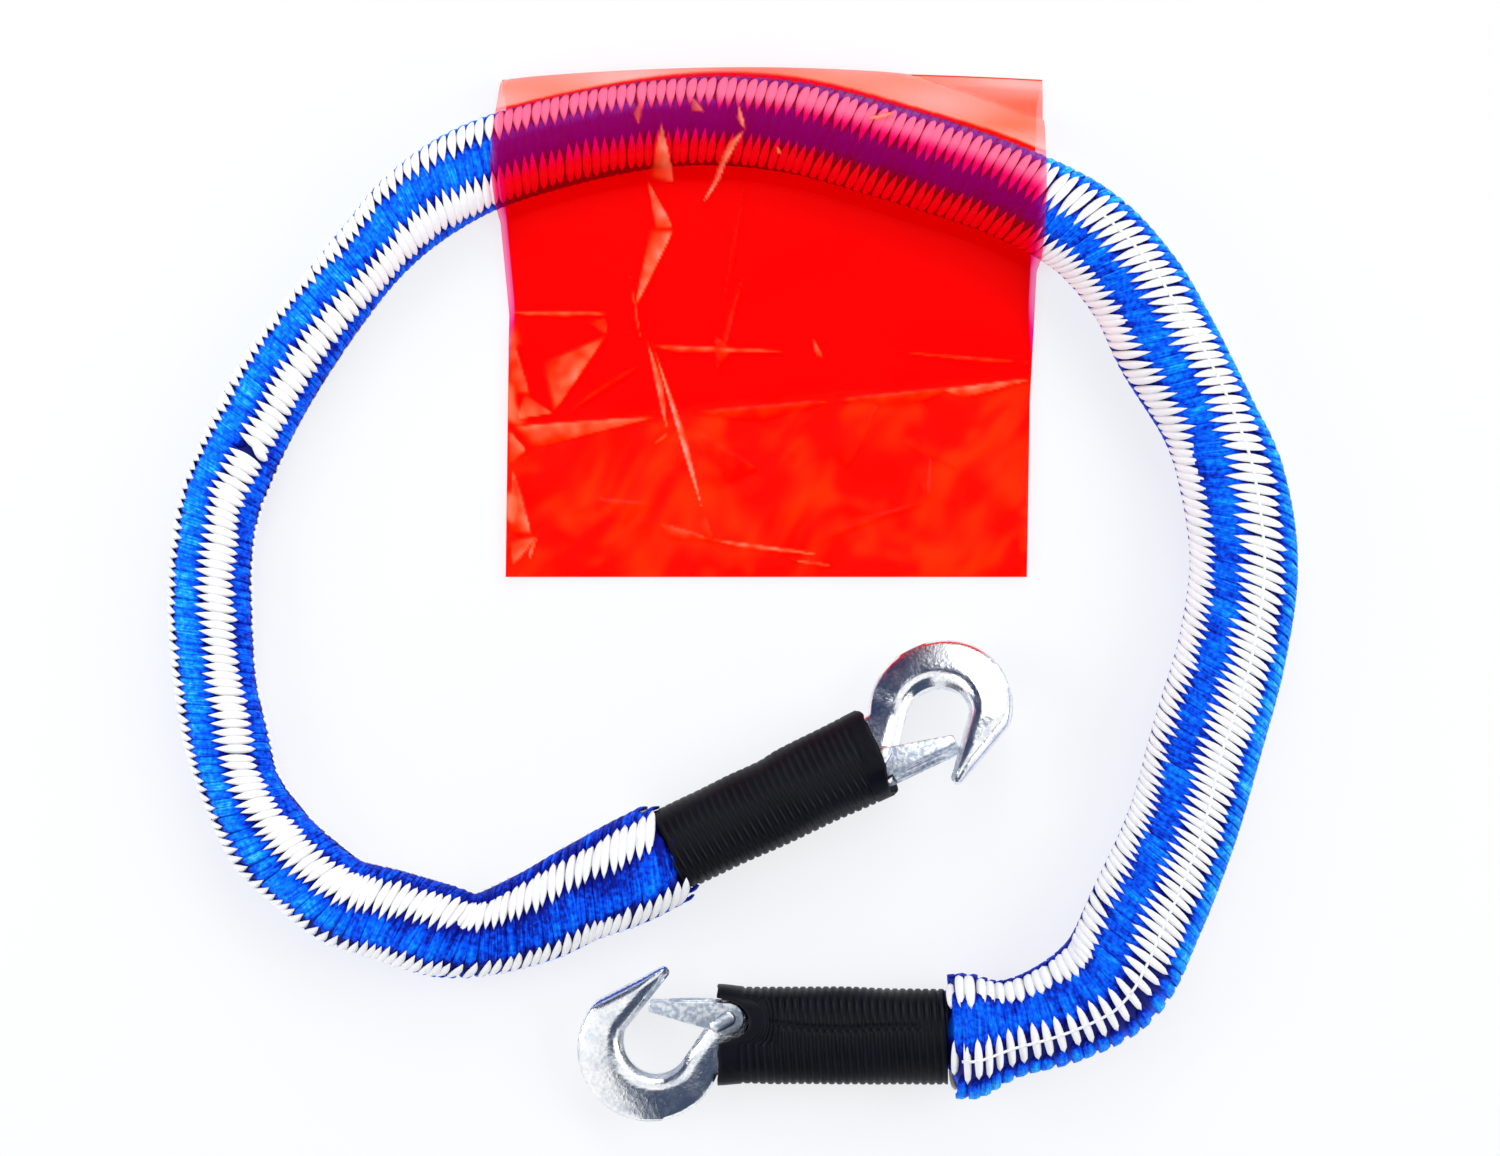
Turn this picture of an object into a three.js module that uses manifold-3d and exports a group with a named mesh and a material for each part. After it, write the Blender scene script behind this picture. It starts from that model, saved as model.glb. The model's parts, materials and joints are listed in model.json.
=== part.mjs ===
// Elastic tow rope lying relaxed on a floor in an open loop, in millimetres.
// +Z is up and the floor is z = 0. The origin is under the middle of the loop.
// Each end carries a ribbed sleeve, a crimp ferrule, an eye loop and a latched hook,
// and a warning flag of red film is folded over the rope.
import * as THREE from "three";
import { mergeVertices } from "three/addons/utils/BufferGeometryUtils.js";
import Module from "manifold-3d";

const wasm = await Module();
wasm.setup();

// Clearances
const GAP = 0.3;
const RUNNING = 0.3;

// Rope: x, y and half width of the gathered cover along its middle line, from end A to end B
const ROUTE = [
  [-33.4, -106.0, 21.0],
  [-44.6, -111.6, 21.0],
  [-61.4, -119.2, 19.4],
  [-78.4, -128.0, 18.6],
  [-104.2, -136.2, 16.6],
  [-117.8, -134.0, 18.6],
  [-138.4, -127.8, 18.4],
  [-157.0, -122.4, 18.0],
  [-171.5, -111.4, 17.6],
  [-185.0, -98.8, 17.8],
  [-197.0, -79.0, 16.0],
  [-203.0, -59.6, 16.8],
  [-207.8, -37.6, 16.4],
  [-210.0, -7.6, 16.8],
  [-209.4, 18.4, 16.4],
  [-206.2, 36.4, 16.4],
  [-194.6, 65.6, 16.4],
  [-183.0, 87.2, 16.4],
  [-160.6, 119.4, 15.4],
  [-144.6, 139.2, 15.4],
  [-126.6, 156.8, 17.2],
  [-99.0, 172.8, 18.0],
  [-29.8, 189.2, 17.4],
  [18.2, 188.4, 18.0],
  [66.2, 176.4, 18.6],
  [110.2, 161.6, 18.6],
  [141.0, 145.2, 19.2],
  [161.6, 121.8, 19.8],
  [172.6, 101.0, 20.6],
  [190.0, 70.0, 19.2],
  [198.4, 48.6, 20.8],
  [203.6, 14.4, 21.4],
  [199.2, -20.4, 21.6],
  [188.6, -58.0, 22.2],
  [178.9, -92.0, 22.0],
  [164.2, -126.8, 23.0],
  [151.0, -152.6, 23.0],
  [130.4, -166.6, 20.6],
  [109.2, -173.4, 19.6],
  [95.0, -175.4, 24.6],
];
// Route points where one stretch of the cover gives way to the next
const STRETCHES = [
  ["cover_end_a", 0, 4],
  ["cover_left", 4, 20],
  ["cover_top", 20, 27],
  ["cover_right", 27, 36],
  ["cover_end_b", 36, 39],
];
const COVER_SQUASH = 0.87;
const COVER_WALL = 3.2;
const COVER_SIDES = 12;
const COVER_LIFT = 0.2;
const STEPS_PER_POINT = 2;
const NECK_WALL = 2.4;
const NECK_DEPTH = 10;

// Rubber core
const STRAND_DIAMETER = 7;
const STRAND_GAP = 0.4;
const STRAND_SIDES = 6;

// Sleeves: half widths and half heights at the rope end, the middle and the mouth
const SLEEVE_WALL = 1.1;
const SLEEVE_SIDES = 16;
const MOUTH_SQUARENESS = 2.6;
const SLEEVE_LIP = 8;
const RIB_COUNT = 19;
const RIB_HEIGHT = 0.6;
const BORE_RINGS = 8;
const NOTCH_RADIUS = 9;

// The two ends: where the rope enters the sleeve, the heading of the hook and its roll
const ENDS = [
  {
    tag: "a",
    ropeEnd: [-25.4, -101.8, 18.0],
    heading: 25.5,
    roll: 30,
    sleeveLength: 93,
    sleeveWidths: [17.2, 18.0, 19.8],
    sleeveHeights: [15.6, 15.0, 13.0],
    notched: false,
  },
  {
    tag: "b",
    ropeEnd: [85.4, -176.2, 18.6],
    heading: 180,
    roll: 0,
    sleeveLength: 91,
    sleeveWidths: [19.4, 18.0, 19.8],
    sleeveHeights: [16.6, 15.0, 13.0],
    notched: true,
  },
];
const FLOOR_CLEARANCE = 0.4;
const STEEPEST = 8;

// Ferrule and eye loop
const FERRULE_LENGTH = 24;
const FERRULE_FROM_EYE = 35;
const FERRULE_SIDES = 16;
const LOOP_WIDTH = 9;
const LOOP_THICKNESS = 5;
const LOOP_INNER_BEND = 0.2;
const LOOP_BEND_STEPS = 5;

// Hook, in its own plane with the eye centre at the origin and the latch on the -Y side
const HOOK_THICKNESS = 12;
const SHANK_THICKNESS = 8;
const SHANK_REACH = 33;
const HOOK_CHAMFER = 1.8;
const EYE_RADIUS = 14.5;
const EYE_BORE = 8.5;
const EYE_TO_MOUTH = 18;
const BOWL_RADIUS = 29;
const BOWL_REACH = 46.6;
const BOWL_OFFSET = 5.6;
const THROAT_RADIUS = 13.2;
const THROAT_REACH = 44;
const THROAT_OFFSET = 2.4;
const NOSE_REACH = 41;
const NOSE_OFFSET = -25.2;
const NOSE_RADIUS = 2.3;
const BOSS_RADIUS = 5.5;
const PIVOT_REACH = 14.8;
const PIVOT_OFFSET = -7.2;
// Arcs of the outline, in degrees from the direction of the bowl
const ARCS = {
  eye: [-60, -270],
  bowl: [-201, -402],
  nose: [-63, -219],
  throat: [-20, 140],
  boss: [-35, -120],
};

// Latch, rivet and spring
const LATCH_SHEET = 1.2;
const LATCH_EAR = 6.5;
const LATCH_TO_NOSE = 0.5;
const LATCH_TIP = 4;
const WEB_START = 3.5;
const RIVET_RADIUS = 2;
const RIVET_HEAD_RADIUS = 3.6;
const RIVET_HEAD_HEIGHT = 1.2;
const SPRING_WIRE = 0.8;
const SPRING_TURNS = 2;
const SPRING_PITCH = 1.25;
const SPRING_LEG = 9;
const SPRING_KNEE_RISE = 1.6;
const SPRING_LEG_RISE = 1.9;

// Flag of folded film
const FLAG_LEFT = -94.6;
const FLAG_RIGHT = 121.4;
const FLAG_TOP = 212;
const FLAG_BOTTOM = 7.6;
const FLAG_HINGE = 128;
const FLAG_HINGE_GAP = 0.8;
const FILM = 0.5;
const FILM_CLEARANCE = 1;
const FLAG_RUN_UP = 20;
const FLAG_COLUMNS = 15;
const FLAG_ROWS = 10;
const CREASE_HEIGHT = 2.2;
const CREASE_WIDTH = 9;
const UPRIGHT_CREASE = -24;
const LEVEL_CREASES = [106, 74];

const material = (color, roughness, metalness = 0) =>
  new THREE.MeshStandardMaterial({ color, roughness, metalness });
const BRAID = material(0x1450e0, 0.55);
const RUBBER = material(0xc9a878, 0.8);
const SLEEVE = material(0x17171f, 0.5);
const ZINC = material(0xc3cad4, 0.3, 1);
const SPRING_STEEL = material(0x8f949c, 0.35, 1);
const FILM_RED = material(0xf01010, 0.25);

const part = new THREE.Group();
const radians = THREE.MathUtils.degToRad;

function addMesh(parent, name, geometry, finish) {
  const mesh = new THREE.Mesh(geometry, finish);
  mesh.name = name;
  parent.add(mesh);
  return mesh;
}

// Closed skin over a row of rings with equal point counts. A looped row closes on its first ring,
// as a tube with a bore does, and any other row gets a flat cap at each end.
function skin(rings, looped) {
  const sides = rings[0].length;
  const points = rings.flat();
  const faces = [];
  const spans = looped ? rings.length : rings.length - 1;
  for (let i = 0; i < spans; i++) {
    const here = i * sides;
    const next = ((i + 1) % rings.length) * sides;
    for (let j = 0; j < sides; j++) {
      const k = (j + 1) % sides;
      faces.push(here + j, here + k, next + k, here + j, next + k, next + j);
    }
  }
  if (!looped) {
    const last = (rings.length - 1) * sides;
    for (let j = 1; j < sides - 1; j++) {
      faces.push(0, j + 1, j, last, last + j, last + j + 1);
    }
  }
  const geometry = new THREE.BufferGeometry();
  geometry.setAttribute("position", new THREE.Float32BufferAttribute(points.flatMap((p) => p.toArray()), 3));
  geometry.setIndex(faces);
  return geometry;
}

// Sheet of even thickness over a grid of points on its middle surface
function sheet(grid, thickness) {
  const rows = grid.length;
  const columns = grid[0].length;
  const rings = grid.map((row, i) => {
    const before = grid[Math.max(i - 1, 0)];
    const after = grid[Math.min(i + 1, rows - 1)];
    const normals = row.map((point, j) => {
      const across = row[Math.min(j + 1, columns - 1)].clone().sub(row[Math.max(j - 1, 0)]);
      return across.cross(after[j].clone().sub(before[j])).normalize();
    });
    const upper = row.map((point, j) => point.clone().addScaledVector(normals[j], thickness / 2));
    const lower = row.map((point, j) => point.clone().addScaledVector(normals[j], -thickness / 2));
    return [...upper, ...lower.reverse()];
  });
  const geometry = skin(rings, false);
  const caps = [];
  const sides = 2 * columns;
  const last = (rows - 1) * sides;
  for (let j = 0; j < columns - 1; j++) {
    const k = sides - 1 - j;
    caps.push(j, k - 1, j + 1, j, k, k - 1);
    caps.push(last + j, last + j + 1, last + k - 1, last + j, last + k - 1, last + k);
  }
  const walls = Array.from(geometry.index.array).slice(0, (rows - 1) * sides * 6);
  geometry.setIndex([...walls, ...caps]);
  return geometry;
}

function toSolid(geometry) {
  const bare = geometry.clone();
  bare.deleteAttribute("normal");
  bare.deleteAttribute("uv");
  const merged = mergeVertices(bare, 1e-4);
  const vertProperties = new Float32Array(merged.attributes.position.array);
  const triVerts = new Uint32Array(merged.index.array);
  return new wasm.Manifold(new wasm.Mesh({ numProp: 3, vertProperties, triVerts }));
}

function toGeometry(solid) {
  const mesh = solid.getMesh();
  const geometry = new THREE.BufferGeometry();
  geometry.setAttribute("position", new THREE.Float32BufferAttribute(mesh.vertProperties, 3));
  geometry.setIndex(Array.from(mesh.triVerts));
  return geometry;
}

// Upright cylinder between two heights, for cuts about a pin or the eye
function uprightCylinder(x, y, radius, low, high, sides) {
  const geometry = new THREE.CylinderGeometry(radius, radius, high - low, sides);
  geometry.rotateX(Math.PI / 2);
  geometry.translate(x, y, (low + high) / 2);
  return toSolid(geometry);
}

// Places of the two ends

function hookOutline() {
  const outline = new THREE.Shape();
  const arc = (x, y, radius, [from, to]) =>
    outline.absarc(x, y, radius, radians(from), radians(to), to < from);
  arc(0, 0, EYE_RADIUS, ARCS.eye);
  arc(BOWL_REACH, BOWL_OFFSET, BOWL_RADIUS, ARCS.bowl);
  arc(NOSE_REACH, NOSE_OFFSET, NOSE_RADIUS, ARCS.nose);
  arc(THROAT_REACH, THROAT_OFFSET, THROAT_RADIUS, ARCS.throat);
  arc(PIVOT_REACH, PIVOT_OFFSET, BOSS_RADIUS, ARCS.boss);
  outline.closePath();
  return outline;
}

// Reach of the nose's straight inner edge at a given offset
function noseEdgeAt(offset) {
  const nose = radians(ARCS.nose[1]);
  const throat = radians(ARCS.throat[0]);
  const noseX = NOSE_REACH + NOSE_RADIUS * Math.cos(nose);
  const noseY = NOSE_OFFSET + NOSE_RADIUS * Math.sin(nose);
  const throatX = THROAT_REACH + THROAT_RADIUS * Math.cos(throat);
  const throatY = THROAT_OFFSET + THROAT_RADIUS * Math.sin(throat);
  return THREE.MathUtils.mapLinear(offset, throatY, noseY, throatX, noseX);
}

function sleeveSection(end, share) {
  const blend = (values) => {
    const half = share < 0.5 ? 0 : 1;
    const within = THREE.MathUtils.smoothstep(share * 2 - half, 0, 1);
    return THREE.MathUtils.lerp(values[half], values[half + 1], within);
  };
  return { width: blend(end.sleeveWidths), height: blend(end.sleeveHeights) };
}

function sleeveRing(end, share, inset) {
  const x = EYE_TO_MOUTH - end.sleeveLength * (1 - share);
  const { width, height } = sleeveSection(end, share);
  const power = 2 / THREE.MathUtils.lerp(2, MOUTH_SQUARENESS, share);
  const squared = (value) => Math.sign(value) * Math.abs(value) ** power;
  return Array.from({ length: SLEEVE_SIDES }, (_, i) => {
    const angle = (2 * Math.PI * i) / SLEEVE_SIDES;
    const y = (width - inset) * squared(Math.cos(angle));
    const z = (height - inset) * squared(Math.sin(angle));
    return new THREE.Vector3(x, y, z);
  });
}

// The end lies down until its hook or the mouth of its sleeve comes to the floor
function settle(end) {
  const low = hookOutline()
    .getPoints(6)
    .map((p) => new THREE.Vector3(p.x, p.y, -HOOK_THICKNESS / 2));
  const probes = [...low, ...sleeveRing(end, 1, 0)];
  const fromRope = end.sleeveLength - EYE_TO_MOUTH;
  const lowest = (pitch) => {
    const turn = new THREE.Euler(radians(-end.roll), radians(pitch), radians(end.heading), "ZYX");
    const heights = probes.map((p) => p.clone().setX(p.x + fromRope).applyEuler(turn).z);
    return end.ropeEnd[2] + Math.min(...heights);
  };
  let up = -STEEPEST;
  let down = STEEPEST;
  for (let i = 0; i < 40; i++) {
    const middle = (up + down) / 2;
    if (lowest(middle) > FLOOR_CLEARANCE) up = middle;
    else down = middle;
  }
  const turn = new THREE.Euler(radians(-end.roll), radians(up), radians(end.heading), "ZYX");
  const axis = new THREE.Vector3(1, 0, 0).applyEuler(turn);
  const start = new THREE.Vector3(...end.ropeEnd);
  return { turn, axis, start, eye: start.clone().addScaledVector(axis, fromRope) };
}

const PLACED = ENDS.map((end) => ({ ...end, ...settle(end) }));
const [END_A, END_B] = PLACED;

// Rope cover

const middle = new THREE.CatmullRomCurve3(
  ROUTE.map(([x, y]) => new THREE.Vector3(x, y, 0)),
  false,
  "centripetal",
);

// Place, sideways direction and half width of the rope at a route position from 0 to the last point
function station(position) {
  const last = ROUTE.length - 1;
  const index = Math.min(Math.floor(position), last - 1);
  const halfWidth = THREE.MathUtils.lerp(ROUTE[index][2], ROUTE[index + 1][2], position - index);
  const tangent = middle.getTangent(position / last);
  const centre = middle.getPoint(position / last);
  centre.z = COVER_LIFT + COVER_SQUASH * halfWidth + filmUnder(centre.x, centre.y);
  return { centre, tangent, side: new THREE.Vector3(-tangent.y, tangent.x, 0), halfWidth };
}

// Under the flag, and a little way each side of it, the rope lies on the back panel of the film
function filmUnder(x, y) {
  const over = y > FLAG_HINGE && x > FLAG_LEFT - FLAG_RUN_UP && x < FLAG_RIGHT + FLAG_RUN_UP;
  return over ? FILM + GAP : 0;
}

function coverRing(place, radius) {
  return Array.from({ length: COVER_SIDES }, (_, i) => {
    const angle = (2 * Math.PI * i) / COVER_SIDES;
    return place.centre
      .clone()
      .addScaledVector(place.side, radius * Math.cos(angle))
      .add(new THREE.Vector3(0, 0, radius * COVER_SQUASH * Math.sin(angle)));
  });
}

// Round neck of the gathered cover inside a sleeve's rope end
function neckRings(end, inset) {
  const radius = neckRadius(end) - inset;
  const side = new THREE.Vector3(-end.axis.y, end.axis.x, 0).normalize();
  const up = end.axis.clone().cross(side);
  return [0, NECK_DEPTH].map((depth) => {
    const centre = end.start.clone().addScaledVector(end.axis, depth);
    return Array.from({ length: COVER_SIDES }, (_, i) => {
      const angle = (2 * Math.PI * i) / COVER_SIDES;
      return centre
        .clone()
        .addScaledVector(side, radius * Math.cos(angle))
        .addScaledVector(up, radius * Math.sin(angle));
    });
  });
}

function neckRadius(end) {
  const bore = Math.min(end.sleeveWidths[0], end.sleeveHeights[0]) - SLEEVE_WALL - RIB_HEIGHT;
  return (bore - GAP) * Math.cos(Math.PI / SLEEVE_SIDES);
}

// Route position moved along by half a gap, so that neighbouring stretches don't touch
function trimmed(position, sign) {
  const last = ROUTE.length - 1;
  const probe = 0.01;
  const here = middle.getPoint(position / last);
  const pace = here.distanceTo(middle.getPoint((position + sign * probe) / last)) / probe;
  return position + (sign * GAP) / 2 / pace;
}

// The neck at end A faces against the route, so its rings are turned to run the same way round
function turned(ring) {
  return ring.map((_, i) => ring[(ring.length * 1.5 - i) % ring.length]);
}

function stretchRings(from, to, wall) {
  const last = ROUTE.length - 1;
  const steps = (to - from) * STEPS_PER_POINT;
  const rings = [];
  for (let i = 0; i <= steps; i++) {
    let position = from + i / STEPS_PER_POINT;
    if (i === 0 && from > 0) position = trimmed(position, 1);
    if (i === steps && to < last) position = trimmed(position, -1);
    const place = station(position);
    rings.push(coverRing(place, place.halfWidth - wall));
  }
  const neckInset = wall > 0 ? NECK_WALL : 0;
  if (from === 0) rings.unshift(...neckRings(END_A, neckInset).map(turned).reverse());
  if (to === last) rings.push(...neckRings(END_B, neckInset));
  return rings;
}

for (const [name, from, to] of STRETCHES) {
  const outer = stretchRings(from, to, 0);
  const inner = stretchRings(from, to, COVER_WALL).reverse();
  addMesh(part, name, skin([...outer, ...inner], true), BRAID);
}

// Rubber strands, two by two inside the cover, from one ferrule to the other

const ferruleReach = FERRULE_FROM_EYE + FERRULE_LENGTH / 2;
const ferruleMiddle = (end) => end.eye.clone().addScaledVector(end.axis, -ferruleReach);

function corePlaces() {
  const endPlaces = (end, sign) => {
    const tangent = end.axis.clone().multiplyScalar(sign);
    const side = new THREE.Vector3(-tangent.y, tangent.x, 0).normalize();
    const inFerrule = ferruleMiddle(end).addScaledVector(end.axis, -GAP);
    const inNeck = end.start.clone().addScaledVector(end.axis, NECK_DEPTH / 2);
    return [inFerrule, inNeck].map((centre) => ({ centre, side }));
  };
  const along = ROUTE.map((_, i) => station(i));
  return [...endPlaces(END_A, -1), ...along, ...endPlaces(END_B, 1).reverse()];
}

const strandOffset = (STRAND_DIAMETER + STRAND_GAP) / 2;
const bundleRadius = strandOffset * Math.SQRT2 + STRAND_DIAMETER / 2;
const core = corePlaces();
[
  [1, 1],
  [-1, 1],
  [-1, -1],
  [1, -1],
].forEach(([across, above], n) => {
  const rings = core.map(({ centre, side }) => {
    const heart = centre.clone().addScaledVector(side, across * strandOffset);
    heart.z += above * strandOffset;
    return Array.from({ length: STRAND_SIDES }, (_, i) => {
      const angle = (2 * Math.PI * i) / STRAND_SIDES;
      return heart
        .clone()
        .addScaledVector(side, (STRAND_DIAMETER / 2) * Math.cos(angle))
        .add(new THREE.Vector3(0, 0, (STRAND_DIAMETER / 2) * Math.sin(angle)));
    });
  });
  addMesh(part, `rubber_strand_${n + 1}`, skin(rings, false), RUBBER);
});

// Pieces of an end, each in the frame of its hook

function sleeveGeometry(end) {
  const ribbed = 1 - SLEEVE_LIP / end.sleeveLength;
  const outer = [];
  for (let i = 0; i <= 2 * RIB_COUNT; i++) {
    outer.push(sleeveRing(end, (ribbed * i) / (2 * RIB_COUNT), i % 2 === 0 ? RIB_HEIGHT : 0));
  }
  outer.push(sleeveRing(end, ribbed + 1 / end.sleeveLength, RIB_HEIGHT / 2));
  outer.push(sleeveRing(end, 1, 0));
  const bore = [];
  for (let i = BORE_RINGS; i >= 0; i--) {
    bore.push(sleeveRing(end, i / BORE_RINGS, SLEEVE_WALL + RIB_HEIGHT));
  }
  const tube = toSolid(skin([...outer, ...bore], true));
  if (!end.notched) return toGeometry(tube);
  const reach = 2 * end.sleeveHeights[2];
  return toGeometry(tube.subtract(uprightCylinder(PIVOT_REACH, PIVOT_OFFSET, NOTCH_RADIUS, 0, reach, 16)));
}

// Crimped tube that fills the sleeve's bore, so the sleeve grips it
function ferruleGeometry(end) {
  const bore = (bundleRadius + GAP) / Math.cos(Math.PI / FERRULE_SIDES);
  const share = 1 - (FERRULE_FROM_EYE + EYE_TO_MOUTH) / end.sleeveLength;
  const wall = sleeveSection(end, share).height - SLEEVE_WALL - RIB_HEIGHT - GAP;
  const profile = [
    [bore, 0],
    [wall, 0],
    [wall, FERRULE_LENGTH],
    [bore, FERRULE_LENGTH],
    [bore, 0],
  ].map(([x, y]) => new THREE.Vector2(x, y));
  const geometry = new THREE.LatheGeometry(profile, FERRULE_SIDES);
  geometry.rotateZ(-Math.PI / 2);
  geometry.translate(-FERRULE_FROM_EYE - FERRULE_LENGTH, 0, 0);
  return geometry;
}

// The flattened braid runs out of the ferrule over the eye, down through it and back below
function loopGeometry() {
  const over = SHANK_THICKNESS / 2 + GAP + LOOP_THICKNESS / 2;
  const inFerrule = (LOOP_THICKNESS + STRAND_GAP) / 2;
  const seat = Math.sqrt((EYE_BORE - GAP) ** 2 - (LOOP_WIDTH / 2) ** 2) - LOOP_THICKNESS / 2;
  const bend = LOOP_THICKNESS / 2 + LOOP_INNER_BEND;
  const half = [
    [GAP - ferruleReach, inFerrule],
    [-FERRULE_FROM_EYE, inFerrule],
    [-EYE_RADIUS - LOOP_WIDTH / 2, over],
    [-EYE_RADIUS, over],
  ];
  for (let i = 0; i <= LOOP_BEND_STEPS; i++) {
    const angle = ((Math.PI / 2) * i) / LOOP_BEND_STEPS;
    half.push([bend * (Math.sin(angle) - 1) - seat, over - bend * (1 - Math.cos(angle))]);
  }
  const mirrored = half.map(([x, z]) => [x, -z]).reverse();
  const path = [...half, ...mirrored].map(([x, z]) => new THREE.Vector3(x, 0, z));
  const thick = LOOP_THICKNESS / 2;
  const wide = LOOP_WIDTH / 2;
  const round = thick / 2;
  const section = [
    [thick, round - wide],
    [thick - round, -wide],
    [round - thick, -wide],
    [-thick, round - wide],
    [-thick, wide - round],
    [round - thick, wide],
    [thick - round, wide],
    [thick, wide - round],
  ];
  const rings = path.map((point, i) => {
    const after = path[Math.min(i + 1, path.length - 1)];
    const before = path[Math.max(i - 1, 0)];
    const tangent = after.clone().sub(before).normalize();
    return section.map(([out, y]) =>
      new THREE.Vector3(point.x - tangent.z * out, y, point.z + tangent.x * out),
    );
  });
  return skin(rings, false);
}

const latchInside = SHANK_THICKNESS / 2 + RUNNING;
const latchOutside = latchInside + LATCH_SHEET;
const latchLength = noseEdgeAt(PIVOT_OFFSET - LATCH_EAR) - LATCH_TO_NOSE - PIVOT_REACH;
const springRadius = RIVET_RADIUS + RUNNING + SPRING_WIRE / 2;
const springTop = latchInside - RUNNING - SPRING_WIRE / 2;
const springBottom = springTop - SPRING_TURNS * SPRING_PITCH;

// Forged hook, thinner at the eye and neck, with a seat round the rivet for the latch spring
function hookGeometry() {
  const outline = hookOutline();
  const bore = new THREE.Path();
  bore.absarc(0, 0, EYE_BORE, 0, 2 * Math.PI, false);
  outline.holes.push(bore);
  const forging = new THREE.ExtrudeGeometry(outline, {
    depth: HOOK_THICKNESS - 2 * HOOK_CHAMFER,
    curveSegments: 6,
    bevelEnabled: true,
    bevelSegments: 1,
    bevelThickness: HOOK_CHAMFER,
    bevelSize: HOOK_CHAMFER,
    bevelOffset: -HOOK_CHAMFER,
  });
  forging.translate(0, 0, HOOK_CHAMFER - HOOK_THICKNESS / 2);
  const shank = SHANK_THICKNESS / 2;
  const seat = BOSS_RADIUS + 2 * RUNNING;
  const seatFloor = springBottom - SPRING_WIRE / 2 - RUNNING;
  const rivetHole = RIVET_RADIUS + RUNNING;
  return toGeometry(
    toSolid(forging)
      .subtract(uprightCylinder(0, 0, SHANK_REACH, shank, HOOK_THICKNESS, 40))
      .subtract(uprightCylinder(0, 0, SHANK_REACH, -HOOK_THICKNESS, -shank, 40))
      .subtract(uprightCylinder(PIVOT_REACH, PIVOT_OFFSET, seat, seatFloor, HOOK_THICKNESS, 16))
      .subtract(uprightCylinder(PIVOT_REACH, PIVOT_OFFSET, rivetHole, -HOOK_THICKNESS, HOOK_THICKNESS, 12)),
  );
}

// Pressed channel: a cheek each side of the neck, joined by a web along the outer edge
function latchGeometry() {
  const cheek = new THREE.Shape();
  cheek.absarc(0, 0, LATCH_EAR, radians(-90), radians(75) - 2 * Math.PI, true);
  cheek.lineTo(latchLength, LATCH_TIP - LATCH_EAR);
  cheek.lineTo(latchLength, -LATCH_EAR);
  cheek.closePath();
  const hole = new THREE.Path();
  hole.absarc(0, 0, RIVET_RADIUS + RUNNING, 0, 2 * Math.PI, false);
  cheek.holes.push(hole);
  const cheekAt = (z) => {
    const pressing = { depth: LATCH_SHEET, curveSegments: 6, bevelEnabled: false };
    const plate = new THREE.ExtrudeGeometry(cheek, pressing);
    plate.translate(PIVOT_REACH, PIVOT_OFFSET, z);
    return toSolid(plate);
  };
  const web = new THREE.BoxGeometry(latchLength - WEB_START, LATCH_SHEET, 2 * latchOutside);
  web.translate(
    PIVOT_REACH + (latchLength + WEB_START) / 2,
    PIVOT_OFFSET - LATCH_EAR + LATCH_SHEET / 2,
    0,
  );
  return toGeometry(toSolid(web).add(cheekAt(latchInside)).add(cheekAt(-latchOutside)));
}

function rivetGeometry() {
  const shank = latchOutside + GAP;
  const top = shank + RIVET_HEAD_HEIGHT;
  const profile = [
    [0, -top],
    [RIVET_HEAD_RADIUS * 0.7, -top],
    [RIVET_HEAD_RADIUS, -shank],
    [RIVET_RADIUS, -shank],
    [RIVET_RADIUS, shank],
    [RIVET_HEAD_RADIUS, shank],
    [RIVET_HEAD_RADIUS * 0.7, top],
    [0, top],
  ].map(([x, y]) => new THREE.Vector2(x, y));
  const geometry = new THREE.LatheGeometry(profile, 12);
  geometry.rotateX(Math.PI / 2);
  geometry.translate(PIVOT_REACH, PIVOT_OFFSET, 0);
  return geometry;
}

// Torsion spring round the rivet, with one leg under the latch's web
function springPoints() {
  const points = [];
  const stepsPerTurn = 8;
  const steps = SPRING_TURNS * stepsPerTurn;
  for (let i = 0; i <= steps; i++) {
    const angle = (2 * Math.PI * i) / stepsPerTurn - Math.PI / 2;
    const rise = (SPRING_PITCH * i) / stepsPerTurn;
    points.push(
      new THREE.Vector3(
        PIVOT_REACH + springRadius * Math.cos(angle),
        PIVOT_OFFSET + springRadius * Math.sin(angle),
        springBottom + rise,
      ),
    );
  }
  const end = points[points.length - 1];
  points.push(new THREE.Vector3(end.x + SPRING_LEG / 2, end.y - SPRING_KNEE_RISE, end.z));
  points.push(new THREE.Vector3(end.x + SPRING_LEG, end.y - SPRING_LEG_RISE, end.z));
  return points;
}

function springGeometry() {
  const points = springPoints();
  const rings = points.map((point, i) => {
    const after = points[Math.min(i + 1, points.length - 1)];
    const before = points[Math.max(i - 1, 0)];
    const tangent = after.clone().sub(before).normalize();
    const side = new THREE.Vector3(0, 0, 1).cross(tangent).normalize();
    const up = tangent.clone().cross(side);
    return Array.from({ length: 5 }, (_, k) => {
      const angle = (2 * Math.PI * k) / 5;
      return point
        .clone()
        .addScaledVector(side, (SPRING_WIRE / 2) * Math.cos(angle))
        .addScaledVector(up, (SPRING_WIRE / 2) * Math.sin(angle));
    });
  });
  return skin(rings, false);
}

// Least gap between turns of the spring, measured on points more than half a turn apart
function springGap() {
  const points = springPoints();
  let least = Infinity;
  points.forEach((point, i) => {
    points.slice(i + 5).forEach((other) => {
      least = Math.min(least, point.distanceTo(other) - SPRING_WIRE);
    });
  });
  return least;
}
console.log(`latch spring, least gap to itself: ${springGap().toFixed(2)} mm`);

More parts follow.
